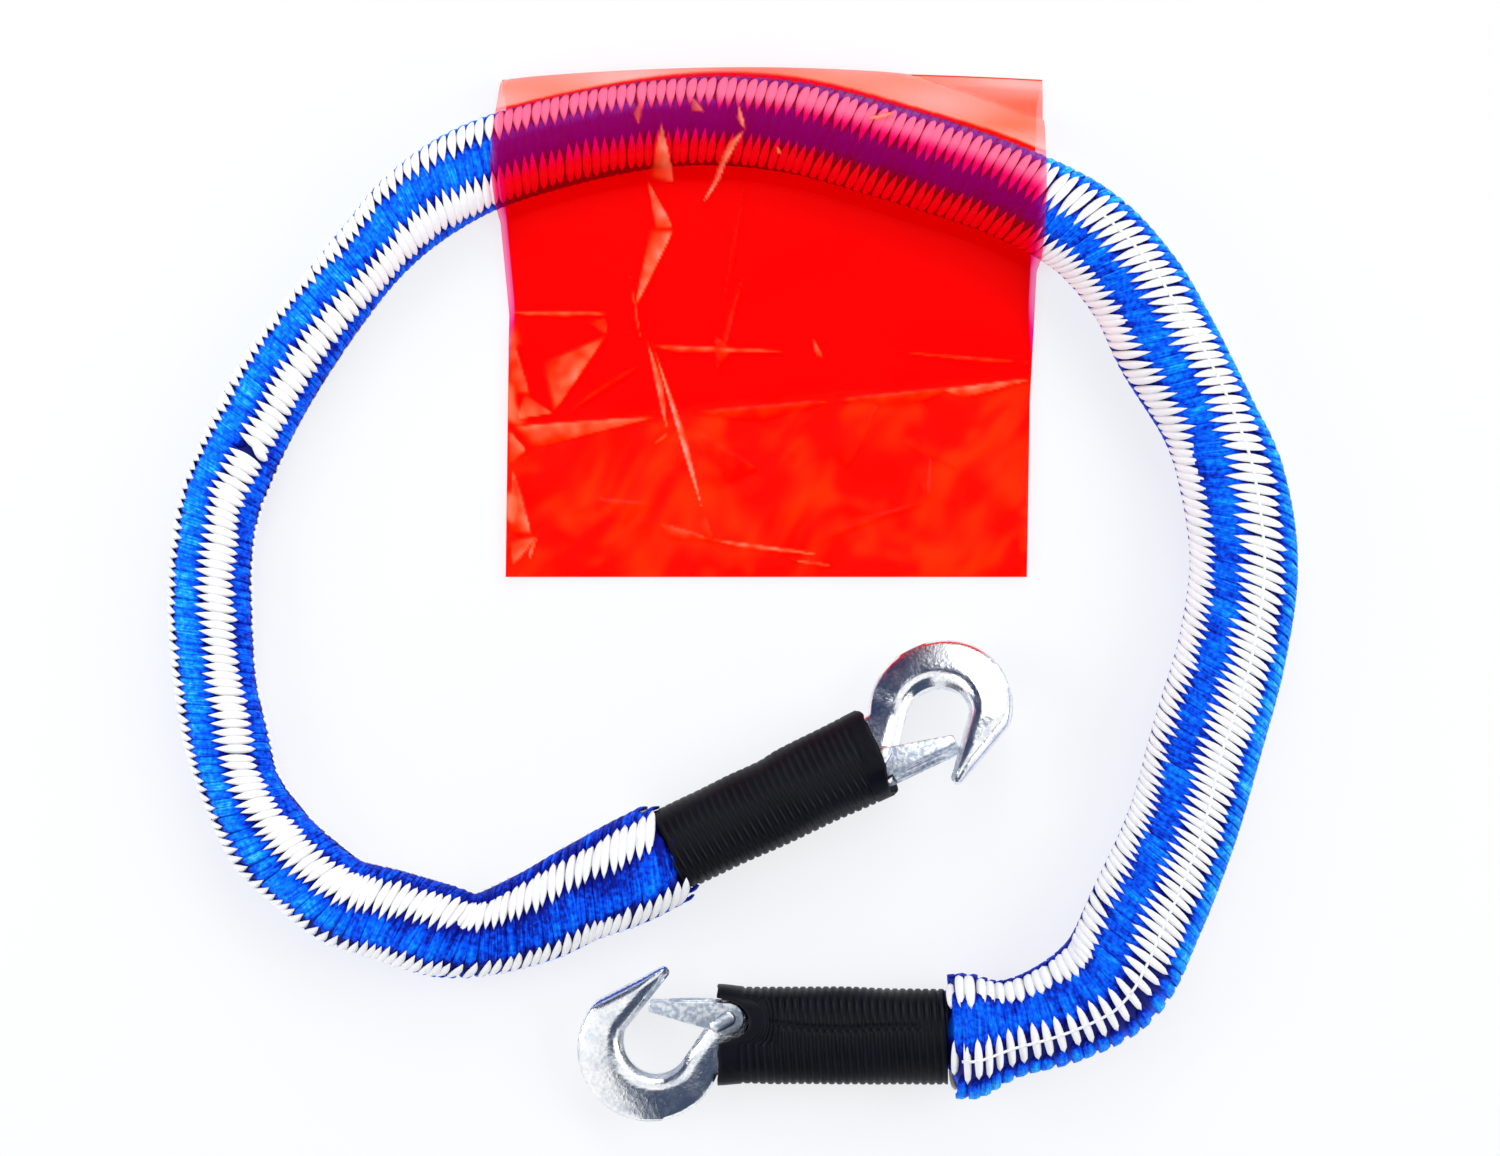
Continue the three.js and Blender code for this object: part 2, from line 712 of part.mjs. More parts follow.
for (const end of PLACED) {
  const group = new THREE.Group();
  group.position.copy(end.eye);
  group.rotation.copy(end.turn);
  addMesh(group, `sleeve_${end.tag}`, sleeveGeometry(end), SLEEVE);
  addMesh(group, `ferrule_${end.tag}`, ferruleGeometry(end), ZINC);
  addMesh(group, `eye_loop_${end.tag}`, loopGeometry(), BRAID);
  addMesh(group, `hook_${end.tag}`, hookGeometry(), ZINC);
  addMesh(group, `latch_${end.tag}`, latchGeometry(), ZINC);
  addMesh(group, `latch_rivet_${end.tag}`, rivetGeometry(), ZINC);
  addMesh(group, `latch_spring_${end.tag}`, springGeometry(), SPRING_STEEL);
  part.add(group);
}

// Flag: the saddle is folded over the rope, and its two panels hang from the hinge line

const backLayer = FILM / 2;
const frontLayer = FILM + GAP + FILM / 2;

// Route position whose point has the given x, along the stretch that the flag covers
function positionAtX(x) {
  let low = STRETCHES[2][1];
  let high = STRETCHES[2][2];
  for (let i = 0; i < 40; i++) {
    const position = (low + high) / 2;
    if (station(position).centre.x < x) low = position;
    else high = position;
  }
  return low;
}

function saddleRow(x) {
  const { centre, tangent, halfWidth } = station(positionAtX(x));
  const across = halfWidth / Math.abs(tangent.x) + FILM_CLEARANCE;
  const above = halfWidth * COVER_SQUASH + FILM_CLEARANCE;
  const fold = (frontLayer - backLayer) / 2;
  const start = FLAG_HINGE + FLAG_HINGE_GAP / 2;
  const edge = FLAG_TOP - fold;
  const row = [
    [start, backLayer],
    [centre.y, backLayer],
    [edge, backLayer],
    [edge + fold, backLayer + fold],
    [edge, frontLayer],
  ];
  const far = Math.min(centre.y + across + 4 * FILM_CLEARANCE, edge - FILM);
  row.push([far, frontLayer]);
  for (const angle of [8, 32, 60, 90, 120, 148, 172]) {
    const y = centre.y + across * Math.cos(radians(angle));
    const z = centre.z + above * Math.sin(radians(angle));
    row.push([Math.min(y, edge), z]);
  }
  row.push([Math.max(centre.y - across - 6 * FILM_CLEARANCE, start + FILM), frontLayer]);
  row.push([start, frontLayer]);
  return row.map(([y, z]) => new THREE.Vector3(x, y, z));
}

const flagColumns = Array.from({ length: FLAG_COLUMNS }, (_, i) =>
  THREE.MathUtils.lerp(FLAG_LEFT, FLAG_RIGHT, i / (FLAG_COLUMNS - 1)),
);
addMesh(part, "flag_saddle", sheet(flagColumns.map(saddleRow), FILM), FILM_RED);

const crease = (distance) => CREASE_HEIGHT * Math.max(0, 1 - Math.abs(distance) / CREASE_WIDTH);

function flagPanel(layer, creased) {
  const start = FLAG_HINGE - FLAG_HINGE_GAP / 2;
  return flagColumns.map((x) =>
    Array.from({ length: FLAG_ROWS }, (_, i) => {
      const y = THREE.MathUtils.lerp(start, FLAG_BOTTOM, i / (FLAG_ROWS - 1));
      const ridges = [crease(x - UPRIGHT_CREASE), ...LEVEL_CREASES.map((level) => crease(y - level))];
      const fade = Math.min(1, (start - y) / CREASE_WIDTH);
      return new THREE.Vector3(x, y, layer + (creased ? fade * Math.max(...ridges) : 0));
    }),
  );
}
addMesh(part, "flag_front_panel", sheet(flagPanel(frontLayer, true), FILM), FILM_RED);
addMesh(part, "flag_back_panel", sheet(flagPanel(backLayer, false), FILM), FILM_RED);

export default part;
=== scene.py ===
import json
import math
import random
from bisect import bisect_right

import bmesh
import bpy
from bpy.props import FloatProperty, FloatVectorProperty, IntProperty, PointerProperty
from mathutils import Matrix, Vector, noise
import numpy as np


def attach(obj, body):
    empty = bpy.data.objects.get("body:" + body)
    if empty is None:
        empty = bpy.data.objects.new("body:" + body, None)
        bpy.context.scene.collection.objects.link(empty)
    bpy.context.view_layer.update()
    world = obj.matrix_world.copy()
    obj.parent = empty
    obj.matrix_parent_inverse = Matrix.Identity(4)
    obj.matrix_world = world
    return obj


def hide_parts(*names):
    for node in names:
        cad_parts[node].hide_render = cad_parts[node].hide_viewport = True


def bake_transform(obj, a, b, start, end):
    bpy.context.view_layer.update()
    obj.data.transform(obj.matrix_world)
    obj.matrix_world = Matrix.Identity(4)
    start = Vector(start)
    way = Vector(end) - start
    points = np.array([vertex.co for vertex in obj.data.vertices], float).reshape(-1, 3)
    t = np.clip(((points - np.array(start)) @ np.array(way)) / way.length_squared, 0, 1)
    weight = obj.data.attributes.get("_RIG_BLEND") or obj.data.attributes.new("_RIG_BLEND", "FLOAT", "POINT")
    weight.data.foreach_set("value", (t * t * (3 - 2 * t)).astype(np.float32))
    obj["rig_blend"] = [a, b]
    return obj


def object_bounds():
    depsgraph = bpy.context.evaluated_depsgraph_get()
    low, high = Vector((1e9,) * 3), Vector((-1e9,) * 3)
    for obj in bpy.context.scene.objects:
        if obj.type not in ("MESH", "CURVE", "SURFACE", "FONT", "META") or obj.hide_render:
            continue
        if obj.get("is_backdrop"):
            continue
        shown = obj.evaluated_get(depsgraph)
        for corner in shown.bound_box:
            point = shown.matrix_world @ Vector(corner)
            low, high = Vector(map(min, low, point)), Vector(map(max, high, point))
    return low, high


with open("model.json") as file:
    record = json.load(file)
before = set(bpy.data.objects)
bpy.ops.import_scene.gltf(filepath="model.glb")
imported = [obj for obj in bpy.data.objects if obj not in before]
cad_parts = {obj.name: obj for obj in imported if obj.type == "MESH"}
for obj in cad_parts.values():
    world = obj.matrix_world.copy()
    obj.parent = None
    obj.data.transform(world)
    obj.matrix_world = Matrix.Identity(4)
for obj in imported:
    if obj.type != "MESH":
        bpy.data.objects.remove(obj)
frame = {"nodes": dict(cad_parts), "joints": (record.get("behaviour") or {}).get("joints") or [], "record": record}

CAD_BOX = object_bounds()

bl_info = {
    "name": "Elastic tow rope",
    "version": (1, 0, 0),
    "blender": (4, 5, 0),
    "location": "View3D > Sidebar > Tow rope",
    "description": "Braided elastic tow rope with two sleeved latch hooks and a red warning flag",
    "category": "Object",
}

MM = 0.001

# Rope route, from sleeve A round to sleeve B: x, y and half width in metres
ROUTE = [
    (-0.0334, -0.1060, 0.0210), (-0.0446, -0.1116, 0.0210), (-0.0614, -0.1192, 0.0194),
    (-0.0784, -0.1280, 0.0186), (-0.1042, -0.1362, 0.0166), (-0.1178, -0.1340, 0.0186),
    (-0.1384, -0.1278, 0.0184), (-0.1570, -0.1224, 0.0180), (-0.1715, -0.1114, 0.0176),
    (-0.1850, -0.0988, 0.0178), (-0.1970, -0.0790, 0.0160), (-0.2030, -0.0596, 0.0168),
    (-0.2078, -0.0376, 0.0164), (-0.2100, -0.0076, 0.0168), (-0.2094, 0.0184, 0.0164),
    (-0.2062, 0.0364, 0.0164), (-0.1946, 0.0656, 0.0164), (-0.1830, 0.0872, 0.0164),
    (-0.1606, 0.1194, 0.0154), (-0.1446, 0.1392, 0.0154), (-0.1266, 0.1568, 0.0172),
    (-0.0990, 0.1728, 0.0180), (-0.0298, 0.1892, 0.0174), (0.0182, 0.1884, 0.0180),
    (0.0662, 0.1764, 0.0186), (0.1102, 0.1616, 0.0186), (0.1410, 0.1452, 0.0192),
    (0.1616, 0.1218, 0.0198), (0.1726, 0.1010, 0.0206), (0.1900, 0.0700, 0.0192),
    (0.1984, 0.0486, 0.0208), (0.2036, 0.0144, 0.0214), (0.1992, -0.0204, 0.0216),
    (0.1886, -0.0580, 0.0222), (0.1789, -0.0920, 0.0220), (0.1642, -0.1268, 0.0230),
    (0.1510, -0.1526, 0.0230), (0.1304, -0.1666, 0.0206), (0.1092, -0.1734, 0.0196),
    (0.0950, -0.1754, 0.0246),
]

# The cover's three pieces meet at these places, counted in points of the route
END_A_TO = 4
END_B_FROM = 36

# The rope rises over the flag's back sheet and comes down again between these places, by this height
OVER_FILM = ((20.2, 21.2), (25.2, 26.2))
FILM_LIFT = 1 * MM

# How far the rope runs straight out of a sleeve, and how far its floats and its inner braid go into one
NECK_RUN = 12 * MM
FLOATS_IN = 3 * MM
TUCKED = 4 * MM

# How far inside an end stretch, in points of the route, it begins to go with its sleeve
BLEND_IN = 0.5

# Stripes round the rope, blue where the count is even, and the white ones that follow the top blue one and
# the lowest one
STRIPES = 8
FOLLOWING = (1, 5)

# Lean of the top blue stripe towards the outside of the loop, in degrees, by place on the route
STRIPE_LEAN = [
    (0, 12), (2.7, 12.5), (3.5, 14), (4.3, 12.5), (5.4, 14.5), (6.2, 19), (7.2, 21), (8.1, 27), (9.1, 22),
    (9.9, 28), (10.7, 31), (11.6, 24), (12.3, 26), (13.5, 32), (14.3, 28), (15.2, 34), (15.8, 26),
    (16.4, 19.5), (17.1, 23), (17.6, 22.5), (18, 17), (18.7, 6), (19.4, 9.5), (20.1, 10.5), (20.7, 1),
    (21.6, 4), (22.3, -2), (23, -8), (23.7, -16), (24.9, -16.5), (25.7, -20), (27.6, -19), (28.2, -13.5),
    (28.7, -13.5), (29.4, -18), (30.6, -24.5), (32.2, -25), (33.1, -28.5), (34.1, -25), (35.1, -25),
    (35.7, -23.5), (36.3, -18), (37.1, -20), (39, -19.5),
]

# How much longer the white floats are than plain ones, how far they part on the loop's outside and inside,
# and where round the rope, as the sine of the angle from its top, each parting begins and is full
WHITE_LONGER = [
    (0, 0.86), (4, 0.88), (6, 1.02), (13, 1.05), (21, 1.08), (22, 1.15), (26, 1.18), (28, 1.12), (30, 1.06),
    (35, 1.06), (36, 0.84),
]
OUTER_SLITS = [(20, 0.0), (26, 0.12), (33, 0.12), (35.2, 0.2), (36, 0.42), (39, 0.36)]
INNER_SLITS = [(20, 0.0), (22, 0.19), (26, 0.19), (28, 0.1), (39, 0.14)]
OUTER_SIDE = (-0.3, 0.4)
INNER_SIDE = (-0.1, 0.5)

# How much narrower the blue floats are along the two edges of the rope, and where round it
EDGE_SLITS = 0.15
EDGE_SIDE = (0.6, 0.9)

# How many degrees nearer than an even share the white stripes lie to the top blue one, by place
WHITE_NEARER = [(22, 0), (28, 3), (30, 5), (35, 5), (36, 8)]

# How sharply the white floats taper to their tips, by place on the route, and the far tip's share of that
WHITE_TAPER = [(0, 0.8), (6, 1.0), (20, 1.05), (26, 0.9), (35, 0.85), (36, 0.5)]
FAR_TAPER = 0.55

# Spacing of the braid's gathered courses, in metres, by place on the route
COURSE_PITCH = [
    (0, 0.0041), (3.5, 0.0037), (6, 0.0033), (12, 0.0034), (16, 0.0036), (20, 0.0036), (24, 0.0039),
    (28, 0.0037), (30.5, 0.0041), (32, 0.0035), (34.5, 0.0033), (35.3, 0.0040), (36, 0.0049), (38, 0.0048),
    (39, 0.0044),
]

# Slant of the floats, in courses from a float's middle to its tip, by place on the route
FLOAT_SLANT = [
    (0, 1.1), (3, 1.0), (6, 0.6), (10, 0.7), (14, 0.4), (17, 0.35), (20.5, 0.7), (22, 0.3), (25, 0.4),
    (26, 0.9), (31, 0.95), (35, 0.9), (35.8, 0.4), (36.5, 0.15), (39, 0.1),
]

# How light the blue yarns are drawn: by place on the route, with a painted light on the loop's outside and a
# painted shade on its inside
YARN_LIGHT = [
    (0, -0.27), (3.5, -0.26), (7, -0.1), (10, -0.02), (22, 0.0), (27, -0.05), (35, -0.05), (36.5, -0.07),
]
OUTER_LIGHT = 0.26
INNER_SHADE = 0.14

# Small differences between floats: shift along the rope over the pitch, tone, and spread of the reach
FLOAT_SHIFT = 0.09
FLOAT_TONE = 0.10
FLOAT_SPREAD = (0.88, 1.10)

# How much of the tone a white float shows, how far a tone sets the fibres of two floats apart, and a float's
# thickness at its tips over that at its middle
WHITE_TONE = 0.3
FIBRES_APART = 40
TIP_BULK = 0.25

# The inner braid: the length of a row, how far a column and a row are apart in its yarns' own pattern, and
# where it turns from a painted deep shade to blue, from the middle between two blue stripes
INNER_STEP = 4 * MM
INNER_COLUMN = 0.8
INNER_ROW = 1.2
INNER_BLUE = (0.35, 0.75)

# The least gap under a float
FLOOR_GAP = 0.1 * MM

# Millimetres of a float's surface in one radian round it, and from its middle to a tip
FLOAT_ROUND = 1.1
FLOAT_HALF = 9.1

# The place on the route where one float of the inside white stripe is only half laid
PARTED_AT = 15.75
PARTED_STRIPE = 7

# The runner thread lies in the outer white stripe from this place of the route on, so many degrees from the
# top one. It lies this share of its radius deep, and rides up and down by a smaller share at every step
RUNNER_FROM = 26
RUNNER_LEAN = 45
RUNNER_DEEP = 0.5
RUNNER_DIP = 0.2
RUNNER_WAVE = 1.9
RUNNER_STEP = 1.2 * MM

# Each end's sleeve: its length, its half widths and half heights from the rope to the mouth, how far the
# mouth's corners stand out and flare, in metres, and the parts that only one of them has
ENDS = {
    "a": {
        "length": 0.093,
        "widths": (0.0174, 0.0174, 0.0182),
        "heights": (0.0156, 0.0150, 0.0130),
        "corners": -0.0038,
        "flare": 0.0,
        "bulge": 0.0009,
        "smooth_top": 0.7,
        "crease": 0.0,
        "notched": False,
        "seed": 3.1,
    },
    "b": {
        "length": 0.091,
        "widths": (0.0190, 0.0195, 0.0193),
        "heights": (0.0166, 0.0150, 0.0130),
        "corners": 0.0012,
        "flare": 0.0011,
        "bulge": 0.0,
        "smooth_top": 0.0,
        "crease": 0.0014,
        "notched": True,
        "seed": 8.7,
    },
}

# The crease along a sleeve: its angle from the top, its width, how far it wanders and over how many waves,
# and the shares of the sleeve's length where it starts and stops
CREASE_AT = math.radians(-14)
CREASE_WIDE = math.radians(2.2)
CREASE_WANDER = 0.2
CREASE_WAVES = 9
CREASE_STARTS = (0.08, 0.14)
CREASE_STOPS = (0.80, 0.86)

# Both sleeves: how far a rib leans to one side, the width of a groove, how much the wall wavers, over how
# many waves in a metre and round the sleeve, the length and wavering of the soft part at the mouth, and how
# far the mouth's round edge stands out
RIB_LEAN = 1.3 * MM
GROOVE_WIDE = 0.5 * MM
WAVER = 0.45 * MM
WAVES_ALONG = 55
WAVES_ROUND = 1.6
MOUTH_RUN = 12 * MM
MOUTH_WAVER = 0.8 * MM
MOUTH_WAVES = 2.3
MOUTH_ROUND = 0.3 * MM

# Where a sleeve's forms begin and are full: the smooth side and the faded ribs as the sine or cosine of the
# angle from its top, the wavering and the bulge as shares of its length, and how narrow its corners are
SMOOTH_SIDE = (0.15, 0.45)
FADED_TOP = (0.0, 0.5)
WAVER_FROM = (0.0, 0.1)
BULGE_FROM = (0.5, 0.6)
CORNER_POWER = 4

# The notch for the latch in a sleeve's mouth: half its width, its depth, how far back the mouth is drawn for
# it and how near the top, and the stretch before the mouth where the ribs fade out, with the share that does
NOTCH_HALF = 9 * MM
NOTCH_DEEP = 12.2 * MM
NOTCH_RUN = 26 * MM
NOTCH_TOP = (0.2, 0.5)
RIBS_FADE = (24 * MM, 10 * MM)
RIBS_FADED = 0.7

# Distances from the hook's eye over which the shank thickens to the bowl, and from the latch's pivot over
# which its slopes begin, the power of the crown's curve, and the least half thickness of an edge
SHANK_TO_BOWL = (29 * MM, 41 * MM)
PIVOT_FLAT = (6 * MM, 10 * MM)
CROWN_POWER = 1.7
LEAST_HALF = 0.8 * MM

# The boss round the pivot: how far it stands out of the shank, and its gap to the spring's seat
BOSS_OUT = 0.3 * MM
BOSS_GAP = 0.05 * MM

# Edges at a greater angle than these stay sharp
FORGED_SHARP = math.radians(38)
PRESSED_SHARP = math.radians(40)

# The latch's rounded edges, how sharp an edge has to be for it, in radians, where its beads lie over its half
# width, and how flat they are
CHEEK_BEVEL = 0.5 * MM
WEB_BEVEL = 0.45 * MM
BEVELLED_ANGLE = 1.2
BEADS_APART = 0.42
BEAD_FLAT = 0.7

# The rivet's play in the latch, and the way its top head is peened over
RIVET_PLAY = 0.3 * MM
ALONG_NECK = (0.85, 0.53)

# Where the latch spring's leg begins and ends to go with the latch, from its rivet
SPRING_BENDS = (3.1 * MM, 6 * MM)

# Folds of the flag's front sheet: the two ends of a sharp edge and the point where the fold fades out,
# each as x, y in metres, and the paleness of its painted highlight
FLAG_FOLDS = [
    (-0.0525, 0.1056, -0.0736, 0.0744, -0.0789, 0.0947, 0.50),
    (-0.0736, 0.0744, -0.0886, 0.0720, -0.0853, 0.0825, 0.55),
    (-0.0529, 0.1125, -0.0525, 0.1056, -0.0602, 0.1109, 0.25),
    (-0.0930, 0.1141, -0.0448, 0.1141, -0.0707, 0.1125, 0.40),
    (-0.0351, 0.1668, -0.0250, 0.1485, -0.0323, 0.1473, 0.62),
    (-0.0250, 0.1485, -0.0408, 0.1165, -0.0343, 0.1498, 0.62),
    (-0.0408, 0.1178, -0.0375, 0.1016, -0.0396, 0.1093, 0.35),
    (-0.0343, 0.1012, -0.0270, 0.0655, -0.0286, 0.0858, 0.60),
    (-0.0307, 0.0955, -0.0124, 0.0327, -0.0193, 0.0647, 0.78),
    (-0.0270, 0.0655, -0.0323, 0.0615, -0.0278, 0.0631, 0.40),
    (-0.0898, 0.0679, -0.0311, 0.0720, -0.0841, 0.0582, 0.52),
    (-0.0181, 0.0736, 0.0410, 0.0789, 0.0102, 0.0696, 0.20),
    (0.0410, 0.0789, 0.0912, 0.0841, 0.0669, 0.0752, 0.26),
    (0.0831, 0.0829, 0.1208, 0.0874, 0.0921, 0.0793, 0.55),
    (-0.0335, 0.1008, 0.0200, 0.0987, -0.0270, 0.0983, 0.42),
    (0.0317, 0.1028, 0.0358, 0.0959, 0.0325, 0.0971, 0.50),
    (0.0738, 0.0975, 0.1208, 0.0939, 0.0953, 0.0947, 0.28),
    (0.0022, 0.1583, -0.0043, 0.1170, -0.0015, 0.1400, 0.12),
    (0.0013, 0.1238, -0.0080, 0.0882, -0.0043, 0.1076, 0.20),
    (-0.0080, 0.1044, -0.0015, 0.0987, -0.0076, 0.0906, 0.22),
    (-0.0088, 0.0222, -0.0311, 0.0295, -0.0270, 0.0222, 0.34),
    (-0.0088, 0.0222, 0.0370, 0.0161, 0.0030, 0.0189, 0.58),
    (0.0256, 0.0137, 0.0398, 0.0121, 0.0313, 0.0121, 0.45),
    (-0.0128, 0.0335, -0.0088, 0.0222, -0.0165, 0.0258, 0.25),
    (-0.0833, 0.0809, -0.0914, 0.1076, -0.0922, 0.0809, 0.40),
    (-0.0845, 0.0582, -0.0914, 0.0663, -0.0918, 0.0509, 0.50),
    (-0.0825, 0.0242, -0.0902, 0.0517, -0.0926, 0.0242, 0.50),
    (-0.0805, 0.0242, -0.0902, 0.0121, -0.0918, 0.0226, 0.48),
    (-0.0805, 0.0234, -0.0837, 0.0137, -0.0829, 0.0206, 0.55),
    (-0.0655, 0.0760, -0.0384, 0.0931, -0.0546, 0.0874, 0.16),
    (0.1188, 0.0671, 0.1172, 0.0121, 0.1115, 0.0226, 0.20),
    (-0.0181, 0.0671, 0.0102, 0.0509, -0.0140, 0.0388, 0.13),
    (0.0588, 0.0813, 0.0447, 0.0509, 0.0345, 0.0631, 0.13),
    (0.0669, 0.0631, 0.0912, 0.0509, 0.0791, 0.0671, 0.16),
    (0.0791, 0.0631, 0.0775, 0.0368, 0.0730, 0.0509, 0.15),
    (0.0345, 0.0226, 0.0791, 0.0388, 0.0467, 0.0307, 0.12),
    (-0.0586, 0.0388, -0.0343, 0.0368, -0.0464, 0.0266, 0.15),
    (-0.0293, 0.1869, -0.0246, 0.1668, -0.0341, 0.1676, 0.66),
    (0.0038, 0.1850, -0.0135, 0.1581, -0.0025, 0.1802, 0.86),
    (0.0015, 0.1936, 0.0042, 0.1842, 0.0007, 0.1889, 0.72),
    (-0.0373, 0.1968, -0.0380, 0.1865, -0.0404, 0.1913, 0.45),
    (-0.0175, 0.1976, -0.0120, 0.1913, -0.0175, 0.1921, 0.50),
    (0.0528, 0.1889, 0.0647, 0.1921, 0.0575, 0.1881, 0.72),
    (0.0165, 0.1778, 0.0184, 0.1755, 0.0165, 0.1755, 0.60),
]

# The height of a fold and the width of its sharp edge, in metres, how fast it rises from its two ends and how
# fast its painted highlight pales it there, and the power of that highlight's fading
FOLD_HEIGHT = 0.0011
FOLD_EDGE = 0.0009
FOLD_RISES = 5
FOLD_PALES = 2.5
FOLD_FADING = 0.7

# Noise over the film: waves in a metre along x and y, and a seed. It breaks up the folds' painted highlights,
# crushes the left edge, warps the painted sheen's patches, ripples the back sheet and streaks the painted sheen
# above the rope
HIGHLIGHT_BREAKUP_NOISE = (210, 210, 5.0)
CRUSHED_NOISE = (150, 90, 9.1)
WARP_NOISE = (24, 24, 2.9)
BACK_NOISE = (40, 40, 2.0)
STREAK_NOISE = (22, 90, 3.3)

# Left and right edges of the flag: y and x in metres
FLAG_LEFT = [(0.0076, -0.0926), (0.0700, -0.0918), (0.1134, -0.0912), (0.1700, -0.0966), (0.2120, -0.0942)]
FLAG_RIGHT = [(0.0076, 0.1182), (0.0784, 0.1194), (0.1344, 0.1224), (0.1900, 0.1246), (0.2120, 0.1246)]
FLAG_PALE_EDGE = 0.007

# The film's own ripples: height, waves in a metre and seed
FILM_RIPPLES = [(0.7 * MM, 26, 4.2), (0.22 * MM, 95, 1.7)]

# The crushed part along the film's left edge: where it fades out in x and in y, its height and the paleness of its
# painted highlights
CRUSHED_TO = (-0.092, -0.080)
CRUSHED_UNDER = (0.100, 0.116)
CRUSHED_HEIGHT = 0.8 * MM
CRUSHED_PALE = 0.5

# The painted sheen in cloudy patches over the film's lower half: where it fades out in y, how that line tilts, and
# its least and greatest paleness
SHEEN_PATCHES_UNDER = (0.070, 0.082)
SHEEN_PATCHES_TILT = 0.09
SHEEN_PATCH_LEAST = 0.06
SHEEN_PATCH_MORE = 0.14

# The stretch of the route that the film lies on, how steeply the film falls to the loop's outside and inside,
# and the steps beside the rope at which that fall is looked for
ROPE_UNDER_FILM = (18, 28)
FALL_OUTSIDE = 1.0
FALL_INSIDE = 5.0
DRAPE_STEP = 2 * MM
DRAPE_STEPS = 8

# How far the back sheet's sides lie inside the front's, over which run from the top and above which y, how
# far the top's two corners hang down and from which y on, the heights of the back sheet, its ripple and the
# front sheet, the gap between the two sheets and how far below the top it opens
BACK_INSET = 2.5 * MM
INSET_RUN = 14 * MM
INSET_ABOVE = (0.09, 0.12)
DROOP = 3 * MM
DROOP_FROM = 0.185
BACK_LIFT = 0.35 * MM
BACK_RIPPLE = 0.15 * MM
FRONT_LIFT = 0.45 * MM
SHEETS_APART = 0.8 * MM
SEAM_RUN = 5 * MM

# Across the rope, from -1 at its inside to 1 at its outside: where the film lies flat on it, where it is clear of
# it and takes a painted sheen, and where it is drawn thinner, so clearer over the rope and with a painted pale
# pink sheen on its outside
FLAT_ON_ROPE = (0.9, 1.3)
PAST_ROPE = (0.94, 1.04)
THIN_INSIDE = (-0.65, -0.35)
PAINTED_SHEEN_OUTSIDE = (0.15, 0.5)

# Above this y the film's side edges are drawn thinner, and by how much
EDGES_ABOVE = (0.085, 0.125)
EDGES_THIN = 0.85

# Half the width of the film's bend at its hinge, in metres
HINGE_HALF = 5 * MM

# Lamps: where each stands, its power in watts and its width, in metres
LAMPS = {
    "lamp_left": ((-1.1, 0.1, 0.75), 5.4, 0.7),
    "lamp_right": ((1.1, 0.1, 0.75), 5.0, 0.7),
    "lamp_back": ((0.05, 1.2, 0.8), 6.2, 0.8),
}

# How much of the floor's own white is seen over its lit colour, and how dark its grain is
FLOOR_WHITE = 0.72
FLOOR_GRAIN = 0.985

# Half the floor's side in metres, and the width of the camera's sensor in millimetres
FLOOR_HALF = 12.0
SENSOR_WIDTH = 36

# Dark cards in the white studio, which the metal mirrors: the way each faces and the way across it, where it
# starts, is full and ends along the first, its two sides across, its highest level, and its colour
DARK_CARDS = [
    ((0.3, -0.95, 0.0), (0.95, 0.3, 0.0), 0.0, 0.1, 0.8, -0.32, 0.5, 1.2, "#3A4862"),
    ((-0.6, 0.8, 0.0), (0.8, 0.6, 0.0), 0.45, 0.6, 1.2, -0.7, 0.24, 0.84, "#2C3A5A"),
]
CARD_BLUR = 0.08


def linear(code):
    """An sRGB hex colour as the linear colour that a shader takes."""
    parts = []
    for at in (1, 3, 5):
        part = int(code[at:at + 2], 16) / 255
        parts.append(part / 12.92 if part <= 0.04045 else ((part + 0.055) / 1.055) ** 2.4)
    return (*parts, 1.0)


def smooth(low, high, value):
    """A smooth step from 0 at low to 1 at high."""
    share = min(1.0, max(0.0, (value - low) / (high - low)))
    return share * share * (3 - 2 * share)


def along(table, place):
    """Reads a table of places and values, straight between its rows."""
    for (start, first), (end, second) in zip(table, table[1:]):
        if place <= end:
            share = max(0.0, (place - start) / (end - start))
            return first + (second - first) * share
    return table[-1][1]


def joint(name):
    """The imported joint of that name."""
    return next(entry for entry in frame["joints"] if entry["name"] == name)


def hook_place(end):
    """The hook's own frame: its eye at the origin, X out along the sleeve and Z square to the plate."""
    swing = joint(f"hook_{end}_swing")
    seat = next(entry for entry in frame["record"]["mounts"] if entry["name"] == f"hook_{end}_seat")
    upright = Vector(swing["axis"]).normalized()
    outward = -Vector(seat["axis"])
    outward = (outward - upright * outward.dot(upright)).normalized()
    sideways = upright.cross(outward)
    turn = Matrix((outward, sideways, upright)).transposed().to_4x4()
    return Matrix.Translation(swing["pos_m"]) @ turn


def surface(bm, columns, rows, place, merge=0.0, paint=None):
    """A grid of faces laid on place(column, row) and painted, with its meeting edges merged."""
    made = bmesh.ops.create_grid(bm, x_segments=columns, y_segments=rows, size=1.0)
    for vert in made["verts"]:
        column = round((vert.co.x + 1) / 2 * columns)
        row = round((vert.co.y + 1) / 2 * rows)
        vert.co = place(column, row)
        if paint:
            paint(vert, column, row)
    if merge:
        bmesh.ops.remove_doubles(bm, verts=made["verts"], dist=merge)


def close_ends(bm):
    """Fills the open ends of a tube."""
    bmesh.ops.holes_fill(bm, edges=[edge for edge in bm.edges if edge.is_boundary], sides=0)


def raise_faces(bm, faces, height):
    """Makes flat faces a plate of that height."""
    made = bmesh.ops.extrude_face_region(bm, geom=faces)
    raised = [item for item in made["geom"] if isinstance(item, bmesh.types.BMVert)]
    bmesh.ops.translate(bm, verts=raised, vec=(0, 0, height))


def add_part(bm, part):
    """Adds a part to a mesh and frees the part."""
    mesh = bpy.data.meshes.new("part")
    part.to_mesh(mesh)
    part.free()
    bm.from_mesh(mesh)
    bpy.data.meshes.remove(mesh)


